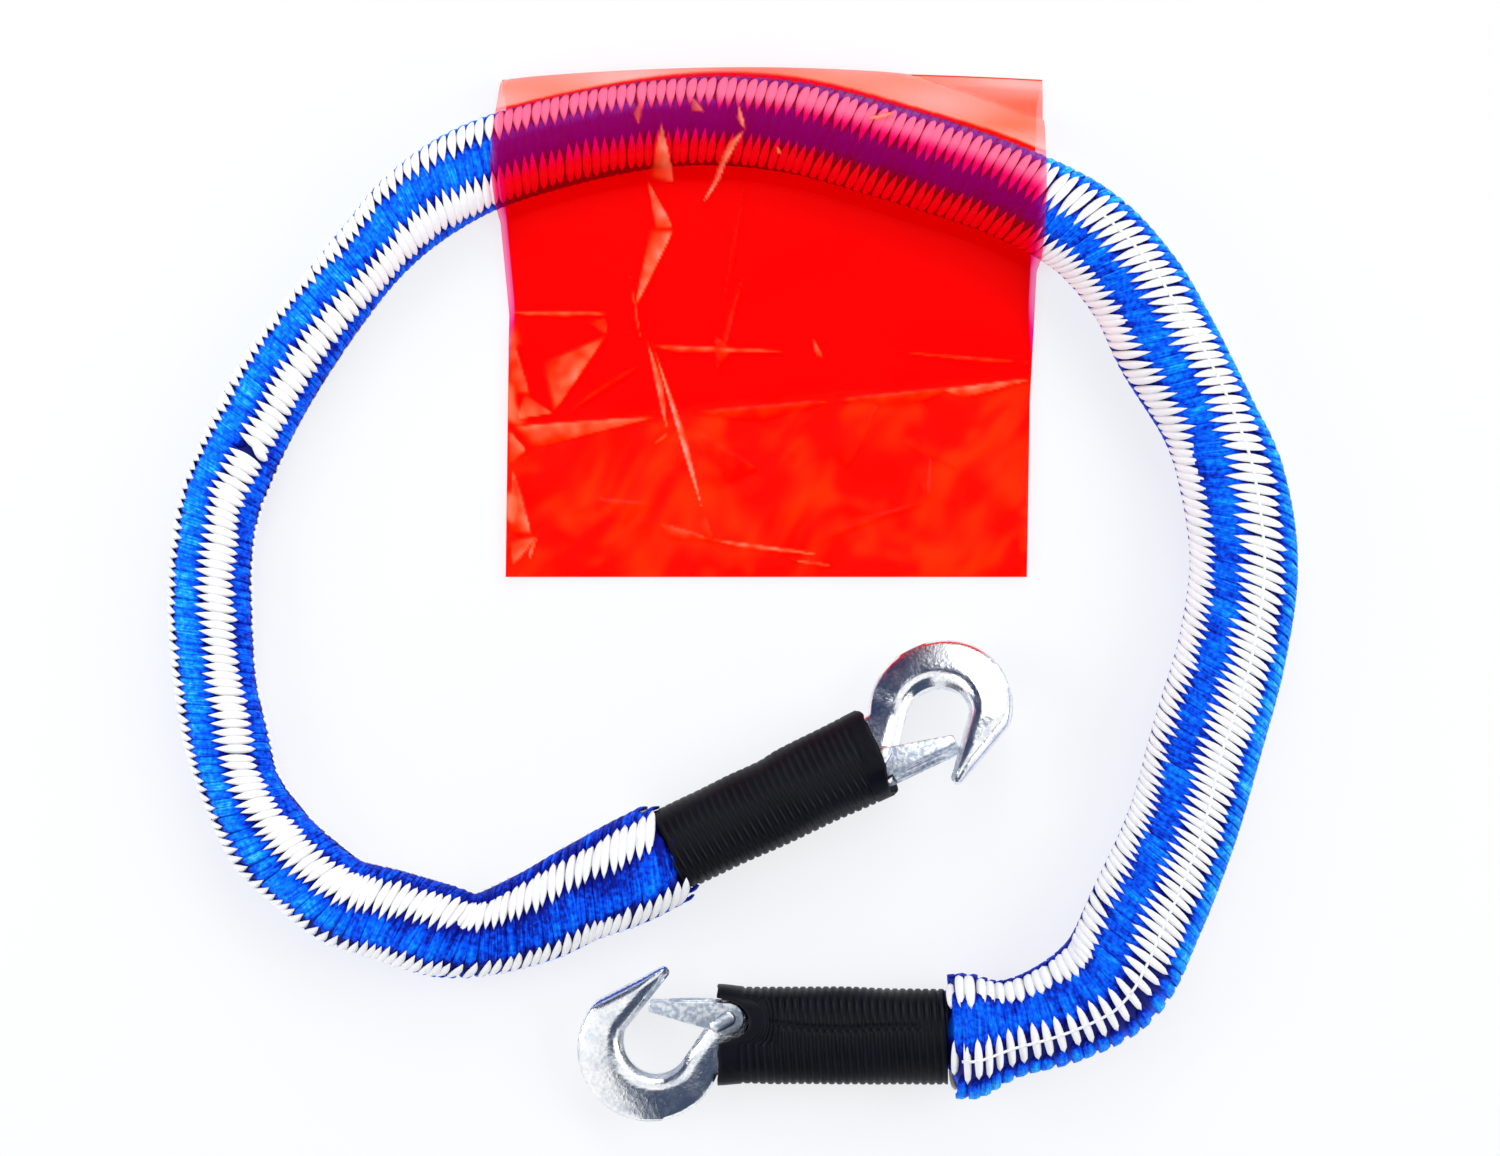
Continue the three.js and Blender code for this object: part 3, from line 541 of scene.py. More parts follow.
def piece(name, bm, materials, body=None, slot=None, facing=True):
    """Puts a finished mesh in the scene as a piece, with its finish and the body that it rides on."""
    if facing:
        bmesh.ops.recalc_face_normals(bm, faces=bm.faces)
    mesh = bpy.data.meshes.new(name)
    bm.to_mesh(mesh)
    bm.free()
    mesh.shade_smooth()
    for material in materials:
        mesh.materials.append(material)
    made = bpy.data.objects.new(name, mesh)
    bpy.context.scene.collection.objects.link(made)
    if body:
        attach(made, body)
    return made


def node(tree, kind, inputs=None, stops=None, out=0, **settings):
    """Adds a shader node with its settings, a ramp's stops and its inputs, and gives one of its outputs."""
    made = tree.nodes.new(f"ShaderNode{kind}")
    for key, value in settings.items():
        setattr(made, key, value)
    if stops:
        marks = made.color_ramp.elements
        marks.remove(marks[1])
        marks[0].position = stops[0][0]
        marks[0].color = linear(stops[0][1])
        for place, code in stops[1:]:
            marks.new(place).color = linear(code)
    for key, value in (inputs or {}).items():
        if isinstance(value, bpy.types.NodeSocket):
            tree.links.new(value, made.inputs[key])
        else:
            made.inputs[key].default_value = value
    return made.outputs[out] if made.outputs else None


def finish_of(name, build):
    """The material of that name, with its nodes made once by build."""
    found = bpy.data.materials.get(name)
    if found:
        return found
    made = bpy.data.materials.new(name)
    made.use_nodes = True
    made.node_tree.nodes.clear()
    shader = build(made.node_tree)
    node(made.node_tree, "OutputMaterial", {"Surface": shader})
    return made


def grained(size, detail, stops, sockets, gloss=None, relief=None):
    """A finish with one grain, its size in millimetres, that sets the colour and may set gloss and relief."""
    def build(tree):
        place = node(tree, "TexCoord", out="Object")
        level = node(tree, "TexNoise", {"Vector": place, "Scale": 1 / (size * MM), "Detail": detail})
        colour = node(tree, "ValToRGB", {"Fac": level}, stops=stops)
        inputs = {"Base Color": colour, **sockets}
        if gloss:
            dull, bright = gloss
            inputs["Roughness"] = node(tree, "MapRange", {
                "Value": level, 1: 0.35, 2: 0.65, 3: dull, 4: bright,
            })
        if relief:
            strength, height = relief
            inputs["Normal"] = node(tree, "Bump", {
                "Height": level, "Strength": strength, "Distance": height * MM,
            })
        return node(tree, "BsdfPrincipled", inputs)
    return build


# Gathered polypropylene yarn: fibres 0.5 mm wide and 7 mm long, drawn coarser than they are so that they
# show, with painted glints in flecks of 1.8 mm where fibres catch the light, and patches of 9 mm. A painted shade
# darkens it where a yarn dives under its neighbours, and its own waxy gloss is low
def braided_polypropylene(stops, patchy, painted_glints, painted_dive_shade):
    def build(tree):
        yarn = node(tree, "Attribute", out="Vector", attribute_name="yarn")
        shade = node(tree, "Attribute", out="Fac", attribute_name="shade")
        place = node(tree, "TexCoord", out="Object")
        fine = (FLOAT_HALF / 7, FLOAT_ROUND / 0.5, 1.0)
        streak = node(tree, "Mapping", {"Vector": yarn, "Scale": fine})
        fibre = node(tree, "TexNoise", {"Vector": streak, "Scale": 1.0, "Detail": 3.0})
        strand = node(tree, "MapRange", {"Value": fibre, 1: 0.25, 2: 0.75, 3: 0.2, 4: 0.8})
        run = node(tree, "SeparateXYZ", {"Vector": yarn}, out="X")
        size = node(tree, "Math", {0: run}, operation="ABSOLUTE")
        # Painted shade where a yarn dives under its neighbours
        depth = node(tree, "Math", {0: size, 1: 3.0}, operation="POWER")
        lit = node(tree, "Math", {0: depth, 1: -painted_dive_shade, 2: strand}, operation="MULTIPLY_ADD")
        total = node(tree, "Math", {0: lit, 1: shade}, operation="ADD")
        patch = node(tree, "TexNoise", {"Vector": place, "Scale": 1 / (9 * MM), "Detail": 3.0})
        mottle = node(tree, "MapRange", {"Value": patch, 3: -patchy, 4: patchy})
        # Painted glints where fibres catch the light
        glint_noise = node(tree, "TexNoise", {"Vector": place, "Scale": 1 / (1.8 * MM), "Detail": 2.0})
        glint_spots = node(tree, "MapRange", {"Value": glint_noise, 1: 0.3, 2: 0.7, 3: -painted_glints, 4: painted_glints})
        broken = node(tree, "Math", {0: mottle, 1: glint_spots}, operation="ADD")
        value = node(tree, "Math", {0: total, 1: broken}, operation="ADD")
        colour = node(tree, "ValToRGB", {"Fac": value}, stops=stops)
        bump = node(tree, "Bump", {"Height": fibre, "Strength": 0.4, "Distance": 0.5 * MM})
        return node(tree, "BsdfPrincipled", {
            "Base Color": colour,
            "Normal": bump,
            "Roughness": 0.5,
            "Specular IOR Level": 0.06,
        })
    return build


# The blue yarn runs from a painted deep ultramarine shade in its folds to a painted pale sky-blue highlight where
# it faces the light
blue_yarn = braided_polypropylene([
    (0.0, "#06148C"), (0.16, "#0434C4"), (0.36, "#0056FF"), (0.6, "#0680FF"), (0.82, "#14ACFF"),
    (1.0, "#58D0FF"),
], patchy=0.19, painted_glints=0.2, painted_dive_shade=1.2)

# The white yarn is almost even, with a painted cold shade only at its very tips
white_yarn = braided_polypropylene([
    (0.0, "#B4BEE0"), (0.16, "#ECEFF8"), (0.32, "#FCFCFE"), (0.9, "#FEFEFE"),
], patchy=0.04, painted_glints=0.03, painted_dive_shade=0.15)


# The braid's inner yarns: streaks 0.7 mm wide and 4 mm long, blue where a blue stripe runs, and a painted deep
# navy shade under the white floats
def shaded_polypropylene(tree):
    yarn = node(tree, "Attribute", out="Vector", attribute_name="yarn")
    streak = node(tree, "Mapping", {"Vector": yarn, "Rotation": (0, 0, 0.4), "Scale": (0.5, 2.4, 1.0)})
    fibre = node(tree, "TexNoise", {"Vector": streak, "Scale": 2.0, "Detail": 3.0})
    shade = node(tree, "Attribute", out="Fac", attribute_name="shade")
    lit = node(tree, "Math", {0: fibre, 1: 0.3, 2: -0.15}, operation="MULTIPLY_ADD")
    total = node(tree, "Math", {0: lit, 1: shade}, operation="ADD")
    colour = node(tree, "ValToRGB", {"Fac": total}, stops=[
        (0.1, "#0A1478"), (0.45, "#0828B0"), (0.8, "#0642E8"), (1.0, "#0A66FF"),
    ])
    bump = node(tree, "Bump", {"Height": fibre, "Strength": 0.3, "Distance": 0.6 * MM})
    return node(tree, "BsdfPrincipled", {
        "Base Color": colour,
        "Roughness": 0.6,
        "Specular IOR Level": 0.2,
        "Normal": bump,
    })


# A twisted polypropylene thread, the thin white line along the stripe, with a twist of 1.2 mm
white_thread = grained(1.2, 2.0, [(0.3, "#E6EAF4"), (0.6, "#FCFCFE")],
                       {"Roughness": 0.5, "Specular IOR Level": 0.25})

# Polypropylene webbing folded round the hook's eye: a coarse weave of 2 mm in deep blue
folded_webbing = grained(2, 3.0, [(0.3, "#0A1E8C"), (0.7, "#0A4CE0")], {"Roughness": 0.6}, relief=(0.5, 0.5))

# Zinc-plated pressed sheet: duller than the forging, so that it goes pale grey, with spangles of 2 mm
pressed_zinc = grained(2, 4.0, [(0.38, "#A6B3C6"), (0.5, "#C8D1DC"), (0.6, "#E6EBF0")],
                       {"Metallic": 1.0}, gloss=(0.42, 0.28), relief=(0.35, 0.4))

# Drawn spring steel: darker than the plate, with marks from the die about 1 mm apart
drawn_spring_steel = grained(1.1, 2.0, [(0.3, "#6F747C"), (0.7, "#A3A8B0")],
                             {"Metallic": 1.0, "Roughness": 0.32})

# Natural rubber strand: matt tan, dusted with talc in patches of 4 mm
natural_rubber = grained(4, 3.0, [(0.35, "#B8915F"), (0.65, "#D9BE90")], {"Roughness": 0.75})


# Black PVC, dip moulded: a soft oily gloss broken by a fine skin of 2.4 mm and dull patches of 11 mm,
# a little blue in the light
def moulded_pvc(tree):
    place = node(tree, "TexCoord", out="Object")
    skin = node(tree, "TexNoise", {"Vector": place, "Scale": 1 / (2.4 * MM), "Detail": 3.0})
    wear = node(tree, "TexNoise", {"Vector": place, "Scale": 1 / (11 * MM), "Detail": 3.0})
    colour = node(tree, "ValToRGB", {"Fac": wear}, stops=[
        (0.3, "#03040D"), (0.7, "#080916"),
    ])
    gloss = node(tree, "MapRange", {"Value": wear, 3: 0.34, 4: 0.52})
    bump = node(tree, "Bump", {"Height": skin, "Strength": 0.3, "Distance": 0.5 * MM})
    return node(tree, "BsdfPrincipled", {
        "Base Color": colour,
        "Roughness": gloss,
        "Normal": bump,
        "Specular IOR Level": 0.13,
    })


# Bright zinc plate on forged steel: mirror-like but rippled by the forging over 7 mm and by specks of
# 1.6 mm, with a bluish passivation in the hollows
def zinc_plate(tree):
    place = node(tree, "TexCoord", out="Object")
    sheen_patch_place = node(tree, "TexNoise", {"Vector": place, "Scale": 1 / (7 * MM), "Detail": 4.0})
    speck = node(tree, "TexNoise", {"Vector": place, "Scale": 1 / (1.6 * MM), "Detail": 3.0})
    mixed = node(tree, "Mix", {0: 0.45, 2: sheen_patch_place, 3: speck})
    colour = node(tree, "ValToRGB", {"Fac": mixed}, stops=[
        (0.36, "#D6DEE9"), (0.48, "#ECF0F5"), (0.58, "#FBFCFD"),
    ])
    gloss = node(tree, "MapRange", {"Value": mixed, 1: 0.35, 2: 0.65, 3: 0.28, 4: 0.12})
    bump = node(tree, "Bump", {"Height": mixed, "Strength": 0.3, "Distance": 0.7 * MM})
    return node(tree, "BsdfPrincipled", {
        "Base Color": colour,
        "Metallic": 1.0,
        "Roughness": gloss,
        "Normal": bump,
    })


# Blown polythene film, dyed red: it shows what lies under it, is drawn clearer over the rope and ripples every
# 16 mm. Painted highlights pale it along its creases, a painted sheen pales it in cloudy patches and above the
# rope and turns it pale pink on the rope's outside, and a faint painted red glow stands in for its day-bright dye
def dyed_polythene(tree):
    place = node(tree, "TexCoord", out="Object")
    wave = node(tree, "TexNoise", {
        "Vector": place, "Scale": 1 / (16 * MM), "Detail": 2.0, "Distortion": 0.6,
    })
    bump = node(tree, "Bump", {"Height": wave, "Strength": 0.2, "Distance": 3 * MM})
    painted_sheen = node(tree, "Attribute", out="Fac", attribute_name="painted_sheen")
    thinness_and_painted_sheen = node(tree, "Attribute", out="Fac", attribute_name="thinness_and_painted_sheen")
    # Colours of the painted highlights and sheen, from the plain red to a pale pink
    colour = node(tree, "ValToRGB", {"Fac": painted_sheen}, stops=[
        (0.0, "#FF0000"), (0.08, "#FF1400"), (0.2, "#FF4200"), (0.45, "#FF7A4E"), (0.7, "#FFA092"),
        (1.0, "#FFDCD8"),
    ])
    # Its tint runs from the plain film, through a clearer magenta over the rope, to a painted pale pink sheen
    tint = node(tree, "ValToRGB", {"Fac": thinness_and_painted_sheen}, stops=[
        (0.0, "#FA0850"), (0.5, "#F41EA8"), (1.0, "#FFBAD6"),
    ])
    clear = node(tree, "BsdfTransparent", {"Color": tint})
    dyed = node(tree, "BsdfPrincipled", {
        "Base Color": colour,
        "Roughness": 0.2,
        "IOR": 1.45,
        "Specular IOR Level": 0.14,
        # A faint painted red glow, standing in for the day-bright dye
        "Emission Color": linear("#FF0000"),
        "Emission Strength": 0.15,
        "Normal": bump,
    })
    dense = node(tree, "MapRange", {"Value": thinness_and_painted_sheen, 1: 0.0, 2: 0.4, 3: 0.24, 4: 0.2})
    pale = node(tree, "MapRange", {"Value": painted_sheen, 1: 0.0, 2: 0.6, 3: 0.0, 4: 0.6})
    front = node(tree, "Math", {0: dense, 1: pale}, operation="ADD")
    back = node(tree, "MapRange", {"Value": painted_sheen, 1: -1.0, 2: -0.4, 3: 0.97, 4: 0.0})
    body = node(tree, "Math", {0: front, 1: back}, operation="MAXIMUM")
    return node(tree, "MixShader", {0: body, 1: clear, 2: dyed})


# Matt white paper with a faint grain of 25 mm, which shows its own white to the camera and to what mirrors it
# and still keeps the object's shadow
def pale_paper(colour):
    def build(tree):
        place = node(tree, "TexCoord", out="Object")
        grain = node(tree, "TexNoise", {"Vector": place, "Scale": 1 / (25 * MM)})
        dark = tuple(part * FLOOR_GRAIN for part in colour)
        tint = node(tree, "MixRGB", {0: grain, 1: (*colour, 1.0), 2: (*dark, 1.0)})
        paper = node(tree, "BsdfPrincipled", {
            "Base Color": tint, "Roughness": 0.9, "Specular IOR Level": 0.1,
        })
        bright = node(tree, "Emission", {"Color": linear("#FFFFFF"), "Strength": 1.0})
        seen = node(tree, "LightPath", out="Is Camera Ray")
        for mirrored in ("Is Glossy Ray", "Is Transmission Ray"):
            ray = node(tree, "LightPath", out=mirrored)
            seen = node(tree, "Math", {0: seen, 1: ray}, operation="MAXIMUM")
        share = node(tree, "Math", {0: seen, 1: FLOOR_WHITE}, operation="MULTIPLY")
        return node(tree, "MixShader", {0: share, 1: paper, 2: bright})
    return build


def a_length(name, description, millimetres):
    """A length that the user can change."""
    return FloatProperty(name=name, description=description, default=millimetres * MM, unit="LENGTH")


def a_share(name, description, default):
    """A plain ratio that the user can change."""
    return FloatProperty(name=name, description=description, default=default)


def an_angle(name, description, degrees):
    """An angle that the user can change."""
    return FloatProperty(name=name, description=description, default=math.radians(degrees), subtype="ANGLE")


def a_spot(name, description, x, y):
    """A point in the hook's own frame that the user can change, in millimetres."""
    return FloatVectorProperty(name=name, description=description, size=3, default=(x * MM, y * MM, 0),
                               subtype="XYZ", unit="LENGTH")


class RopeSizes(bpy.types.PropertyGroup):
    squash: a_share("Squash", "Height of the rope's section over its width", 0.87)
    lift: a_length("Lift", "Gap under the rope", 0.2)
    shoulder: a_length("Shoulder", "Length over which the cover gathers into a sleeve", 4)
    swell: a_share("Swell", "Width of the yarns' outside over the rope's plain width", 1.03)
    neck: a_length("Neck", "Half width of the rope inside a sleeve", 13)
    under: a_length("Under", "Depth of the inner braid under the floats", 1.7)
    white_thick: a_length("White thickness", "Half thickness of a white float", 0.6)
    blue_thick: a_length("Blue thickness", "Half thickness of a blue float", 0.7)
    white_width: a_share("White width", "Half width of a white float over the pitch", 0.61)
    blue_width: a_share("Blue width", "Half width of a blue float over the pitch", 0.66)
    white_low: a_length("White low", "How far a white float lies under the rope's outside", 0.0)
    blue_low: a_length("Blue low", "How far a blue float lies under the rope's outside", 0.12)
    white_sink: a_length("White sink", "How far a white float's tips go down", 0.2)
    blue_sink: a_length("Blue sink", "How far a blue float's tips go under the white ones", 1.1)
    white_reach: an_angle("White reach", "Half of the angle that a white float covers", 28)
    blue_reach: an_angle("Blue reach", "Half of the angle that a blue float covers", 36)
    runner: a_length("Runner", "Radius of the thread laid along a white stripe", 0.6)
    diameter: a_length("Diameter", "The cover's diameter, gathered and at rest", 40)
    seed: IntProperty(name="Seed", description="Seed of the yarns' small differences", default=7)


class SleeveSizes(bpy.types.PropertyGroup):
    wall: a_length("Wall", "Thickness of the sleeve", 1.1)
    squareness: a_share("Mouth squareness", "Power of the mouth's rounded square", 2.6)
    lip: a_length("Lip", "Plain length at the mouth", 8)
    ribs: IntProperty(name="Ribs", description="Ribs along the sleeve", default=27)
    groove: a_length("Groove", "Depth of the groove between two ribs", 0.8)
    eye_to_mouth: a_length("Eye to mouth", "From the hook's eye to the sleeve's mouth", 18)


class HookSizes(bpy.types.PropertyGroup):
    thickness: a_length("Thickness", "Thickness of the hook's bowl", 12)
    shank: a_length("Shank", "Thickness at the eye", 8)
    crown: a_length("Crown", "Width of the forging's crowned outer side", 16)
    crown_drop: a_length("Crown drop", "How far the crown falls to the outer edge", 2.25)
    edge_round: a_length("Edge round", "Radius of the round along the outer edge", 1.2)
    chamfer: a_length("Chamfer", "Width of the flat round the throat", 5.4)
    chamfer_slope: a_share("Chamfer slope", "Slope of that flat", 0.4)
    bevel: a_length("Bevel", "Width of the steep bevel at the throat's edge", 2.4)
    bevel_slope: a_share("Bevel slope", "Slope that the bevel adds to the flat's", 0.8)
    nose_bevel: a_length("Nose bevel", "Width of the bevel along the back of the nose", 3)
    nose_slope: a_share("Nose slope", "Slope of that bevel", 0.45)
    cut: a_length("Cut", "Spacing of the cuts that carry the crown", 1.1)
    eye_radius: a_length("Eye radius", "Outside radius of the eye", 14.5)
    eye_bore: a_length("Eye bore", "Radius of the hole in the eye", 8.5)
    bowl: a_spot("Bowl", "Centre of the bowl's outside", 46.6, 5.6)
    bowl_radius: a_length("Bowl radius", "Outside radius of the bowl", 29)
    throat: a_spot("Throat", "Centre of the bowl's inside", 44, 2.4)
    throat_radius: a_length("Throat radius", "Inside radius of the bowl", 13.2)
    nose: a_spot("Nose", "Centre of the nose's round", 41, -25.2)
    nose_radius: a_length("Nose radius", "Radius of the nose's round", 2.3)
    pivot: a_spot("Pivot", "Middle of the latch's rivet", 14.8, -7.2)
    seat_radius: a_length("Seat radius", "Radius of the spring's seat in the shank", 6.1)


class LatchSizes(bpy.types.PropertyGroup):
    sheet: a_length("Sheet", "Thickness of the pressed sheet", 1.2)
    inside: a_length("Inside", "From the middle to the inside of a cheek", 4.3)
    ear: a_length("Ear", "Radius of the ear round the rivet", 6.5)
    length: a_length("Length", "From the rivet to the tip", 31.9)
    tip: a_length("Tip", "Height of the cheek at its tip", 4)
    web_start: a_length("Web start", "Where the back web begins, past the rivet", 3.5)
    bead: a_length("Bead", "Half width of the two beads pressed along the web", 1.3)
    bead_length: a_length("Bead length", "Length of those beads", 22)
    rivet: a_length("Rivet", "Radius of the rivet's shank", 2)
    head: a_length("Rivet head", "Radius of the rivet's head", 3.6)
    peened: a_length("Peened", "How far the top head is peened over along the neck", 5)
    head_height: a_length("Head height", "Height of the rivet's head", 1.6)
    coil: a_length("Coil", "Radius of the spring's coil", 2.7)
    coil_pitch: a_length("Coil pitch", "Spacing of the spring's turns", 1.25)
    wire: a_length("Wire", "Radius of the spring's wire", 0.4)


class FlagSizes(bpy.types.PropertyGroup):
    left: a_length("Left", "Left edge", -94.6)
    right: a_length("Right", "Right edge", 121.4)
    top: a_length("Top", "Fold over the rope", 212)
    bottom: a_length("Bottom", "Lower hem", 7.6)
    hinge: a_length("Hinge", "Line where the flag begins to lift", 128)
    clearance: a_length("Clearance", "Gap between the film and the rope", 0.6)


class StageSettings(bpy.types.PropertyGroup):
    centre: FloatVectorProperty(name="Centre", description="Point under the camera", size=2,
                                default=(6.2 * MM, 7.2 * MM), unit="LENGTH")
    height: a_length("Height", "Height of the camera over the floor", 1435)
    lens: a_share("Lens", "Focal length in millimetres", 85)
    floor: FloatVectorProperty(name="Floor", description="Colour of the floor", size=3,
                               default=(0.87, 0.92, 1.0), subtype="COLOR")


class TowRope(bpy.types.PropertyGroup):
    rope: PointerProperty(type=RopeSizes)
    sleeve: PointerProperty(type=SleeveSizes)
    hook: PointerProperty(type=HookSizes)
    latch: PointerProperty(type=LatchSizes)
    flag: PointerProperty(type=FlagSizes)
    stage: PointerProperty(type=StageSettings)


def spline(points, place):
    """A centripetal Catmull-Rom curve through points of x, y, z and half width."""
    last = len(points) - 1
    at = min(int(place), last - 1)
    share = place - at
    first, second = points[at], points[at + 1]
    before = points[at - 1] if at else first * 2 - second
    after = points[at + 2] if at + 2 <= last else second * 2 - first
    pairs = ((before, first), (first, second), (second, after))
    step0, step1, step2 = (max((b.xy - a.xy).length, 1e-7) ** 0.5 for a, b in pairs)
    middle = (second - first) / step1
    leave = ((first - before) / step0 - (second - before) / (step0 + step1) + middle) * step1
    arrive = (middle - (after - first) / (step1 + step2) + (after - second) / step2) * step1
    return (first + leave * share + (second * 3 - first * 3 - leave * 2 - arrive) * share ** 2
            + (first * 2 - second * 2 + leave + arrive) * share ** 3)


class RopeLine:
    """The rope's centreline, measured along its length from sleeve to sleeve."""

    SAMPLES = 24
    NECK_POINTS = 2
    NEAR = 0.02

    def __init__(self, tow_rope):
        self.sizes = tow_rope.rope
        points = []
        for x, y, half in ROUTE:
            points.append(Vector((x, y, self.sizes.lift + self.sizes.squash * half, half)))
        necks = []
        for end, half in (("a", points[0].w), ("b", points[-1].w)):
            place = hook_place(end)
            sleeve_end = tow_rope.sleeve.eye_to_mouth - ENDS[end]["length"]
            runs = (sleeve_end + NECK_RUN, sleeve_end)
            necks.append([Vector((*(place @ Vector((run, 0, 0))), half)) for run in runs])
        self.points = necks[0] + points + necks[1][::-1]
        count = (len(self.points) - 1) * self.SAMPLES
        self.places = [at / self.SAMPLES for at in range(count + 1)]
        line = [spline(self.points, place).xyz for place in self.places]
        self.lengths = [0.0]
        for a, b in zip(line, line[1:]):
            self.lengths.append(self.lengths[-1] + (b - a).length)
        self.from_a = self.length_at(-1)
        self.from_b = self.length_at(len(ROUTE))

    def length_at(self, route_place):
        """Length along the line at a place counted in the route's own points."""
        return self.lengths[round((route_place + self.NECK_POINTS) * self.SAMPLES)]

    def place_at(self, length):
        """Place on the line, counted in the line's points, at a length."""
        at = min(max(bisect_right(self.lengths, length) - 1, 0), len(self.lengths) - 2)
        span = self.lengths[at + 1] - self.lengths[at]
        share = (length - self.lengths[at]) / span
        return self.places[at] + share / self.SAMPLES

    def section(self, length):
        """Centre, travel, left, half width, half height and place on the route at a length."""
        last = len(self.points) - 1.0
        place = min(max(self.place_at(length), 0.0), last)
        here = spline(self.points, place)
        ahead = spline(self.points, min(place + self.NEAR, last))
        behind = spline(self.points, max(place - self.NEAR, 0.0))
        travel = (ahead.xyz - behind.xyz).normalized()
        left = Vector((0, 0, 1)).cross(travel).normalized()
        half = here.w * self.sizes.swell
        inside = min(length - self.from_a, self.from_b - length)
        if inside < self.sizes.shoulder:
            share = min(1.0, max(0.0, 1 - inside / self.sizes.shoulder))
            half = self.sizes.neck + (half - self.sizes.neck) * math.sqrt(max(0.0, 1 - share * share))
        centre = here.xyz
        route_place = place - self.NECK_POINTS
        rising, falling = OVER_FILM
        centre.z += FILM_LIFT * (smooth(*rising, route_place) - smooth(*falling, route_place))
        tall = min(half * self.sizes.squash, centre.z - self.sizes.lift)
        return centre, travel, left, half, tall, route_place

    def sections(self, start, end, steps):
        """The sections at even steps of a stretch."""
        return [self.section(start + (end - start) * step / steps) for step in range(steps + 1)]


def yarn_layers(bm):
    """Adds the layers that keep a yarn's own coordinates and its shade, which is its tone with painted light and
    shade.
    """
    bm.verts.layers.float_vector.new("yarn")
    bm.verts.layers.float.new("shade")
    return bm.verts.layers.float_vector["yarn"], bm.verts.layers.float["shade"]


def bend_float(verts, layers, seat, yarn, tone):
    """Bends one float of yarn round the rope's section: a white needle or a blunt blue roll."""
    weave, shade = layers
    centre, travel, left, half, tall = seat
    angle, reach, lean, wide, thick, low, sink, tapers, blue = yarn
    for vert in verts:
        share = math.asin(max(-1.0, min(1.0, vert.co.z))) * 2 / math.pi
        ring = Vector((vert.co.x, vert.co.y))
        turn = ring.normalized() if ring.length > 1e-6 else Vector((0, 0))
        if blue:
            taper = math.sqrt(1 - share ** 4)
        else:
            taper = max(0.0, math.cos(share * math.pi / 2)) ** tapers[share > 0]
        bulk = thick * (TIP_BULK + (1 - TIP_BULK) * taper)
        depth = bulk + low + sink * share * share - turn.y * bulk
        swing = angle + reach * share
        outward = math.sin(swing)
        run = turn.x * wide * taper + lean * share
        point = centre + travel * run + left * ((half - depth) * outward)
        point.z = max(point.z + (tall - depth) * math.cos(swing), FLOOR_GAP)
        vert.co = point
        vert[weave] = Vector((share, math.atan2(turn.y, turn.x), tone * FIBRES_APART))
        # A blue float's shade is its tone with a painted light on the loop's outside and a painted shade on its
        # inside
        if blue:
            vert[shade] = tone + outward * (OUTER_LIGHT if outward > 0 else INNER_SHADE)
        else:
            vert[shade] = tone * WHITE_TONE


def float_seats(line, sizes, start, end):
    """Each float of a stretch: where it sits, its colour and its small differences."""
    chance = random.Random(sizes.seed)
    length = line.from_a - FLOATS_IN
    parted = line.length_at(PARTED_AT)
    while length < line.from_b + FLOATS_IN:
        pitch = along(COURSE_PITCH, line.section(length)[-1])
        for stripe in range(STRIPES):
            blue = stripe % 2 == 0
            offset = 0.0 if blue else pitch / 2
            jitter = chance.uniform(-FLOAT_SHIFT, FLOAT_SHIFT) * pitch
            tone = chance.uniform(-FLOAT_TONE, FLOAT_TONE)
            spread = chance.uniform(*FLOAT_SPREAD)
            halved = stripe == PARTED_STRIPE and abs(length - parted) <= pitch / 2
            if start <= length < end:
                yield length + offset + jitter, stripe, blue, pitch, tone, spread, halved
        length += pitch


def float_yarn(sizes, place, stripe, blue, pitch, spread, halved):
    """What bend_float needs to know of one float: its angle, reach, slant, sizes and tapers."""
    angle = math.radians(along(STRIPE_LEAN, place)) + stripe * 2 * math.pi / STRIPES
    colour = "blue" if blue else "white"
    parts = ("reach", "width", "thick", "low", "sink")
    reach, wide, thick, low, sink = (getattr(sizes, f"{colour}_{part}") for part in parts)
    if blue:
        wide *= 1 - EDGE_SLITS * smooth(*EDGE_SIDE, abs(math.sin(angle)))
    else:
        reach *= along(WHITE_LONGER, place)
        nearer = math.radians(along(WHITE_NEARER, place))
        angle -= nearer if stripe in FOLLOWING else -nearer
        if halved:
            angle -= reach / 2
            reach /= 2
        wide *= 1 - along(OUTER_SLITS, place) * smooth(*OUTER_SIDE, math.sin(angle))
        wide *= 1 - along(INNER_SLITS, place) * smooth(*INNER_SIDE, -math.sin(angle))
    lean = pitch * along(FLOAT_SLANT, place)
    sharp = along(WHITE_TAPER, place)
    tapers = (sharp, sharp * FAR_TAPER) if stripe in FOLLOWING else (sharp * FAR_TAPER, sharp)
    return angle, reach * spread, lean, wide * pitch, thick, low, sink, tapers, blue


def inner_braid(line, sizes, start, end):
    """The tube of yarns under the floats, in a painted deep shade under the white stripes, closed at both ends."""
    rows = max(4, round((end - start) / INNER_STEP))
    columns = 32
    blue_columns = columns // (STRIPES // 2)
    sections = line.sections(start, end, rows)
    tube = bmesh.new()
    weave, shade = yarn_layers(tube)

    def wall(column, row):
        centre, travel, left, half, tall, place = sections[row]
        swing = 2 * math.pi * (column % columns) / columns + math.radians(along(STRIPE_LEAN, place))
        point = centre + left * ((half - sizes.under) * math.sin(swing))
        point.z += (tall - sizes.under) * math.cos(swing)
        return point

    def paint(vert, column, row):
        stripe = abs((column % blue_columns) / blue_columns - 0.5) * 2
        vert[weave] = Vector((column * INNER_COLUMN, row * INNER_ROW, 0))
        # Painted deep shade under the white stripes, blue under the blue ones
        vert[shade] = smooth(*INNER_BLUE, stripe)

    surface(tube, columns, rows, wall, merge=1e-6, paint=paint)
    close_ends(tube)
    for face in tube.faces:
        face.material_index = 2
    return tube


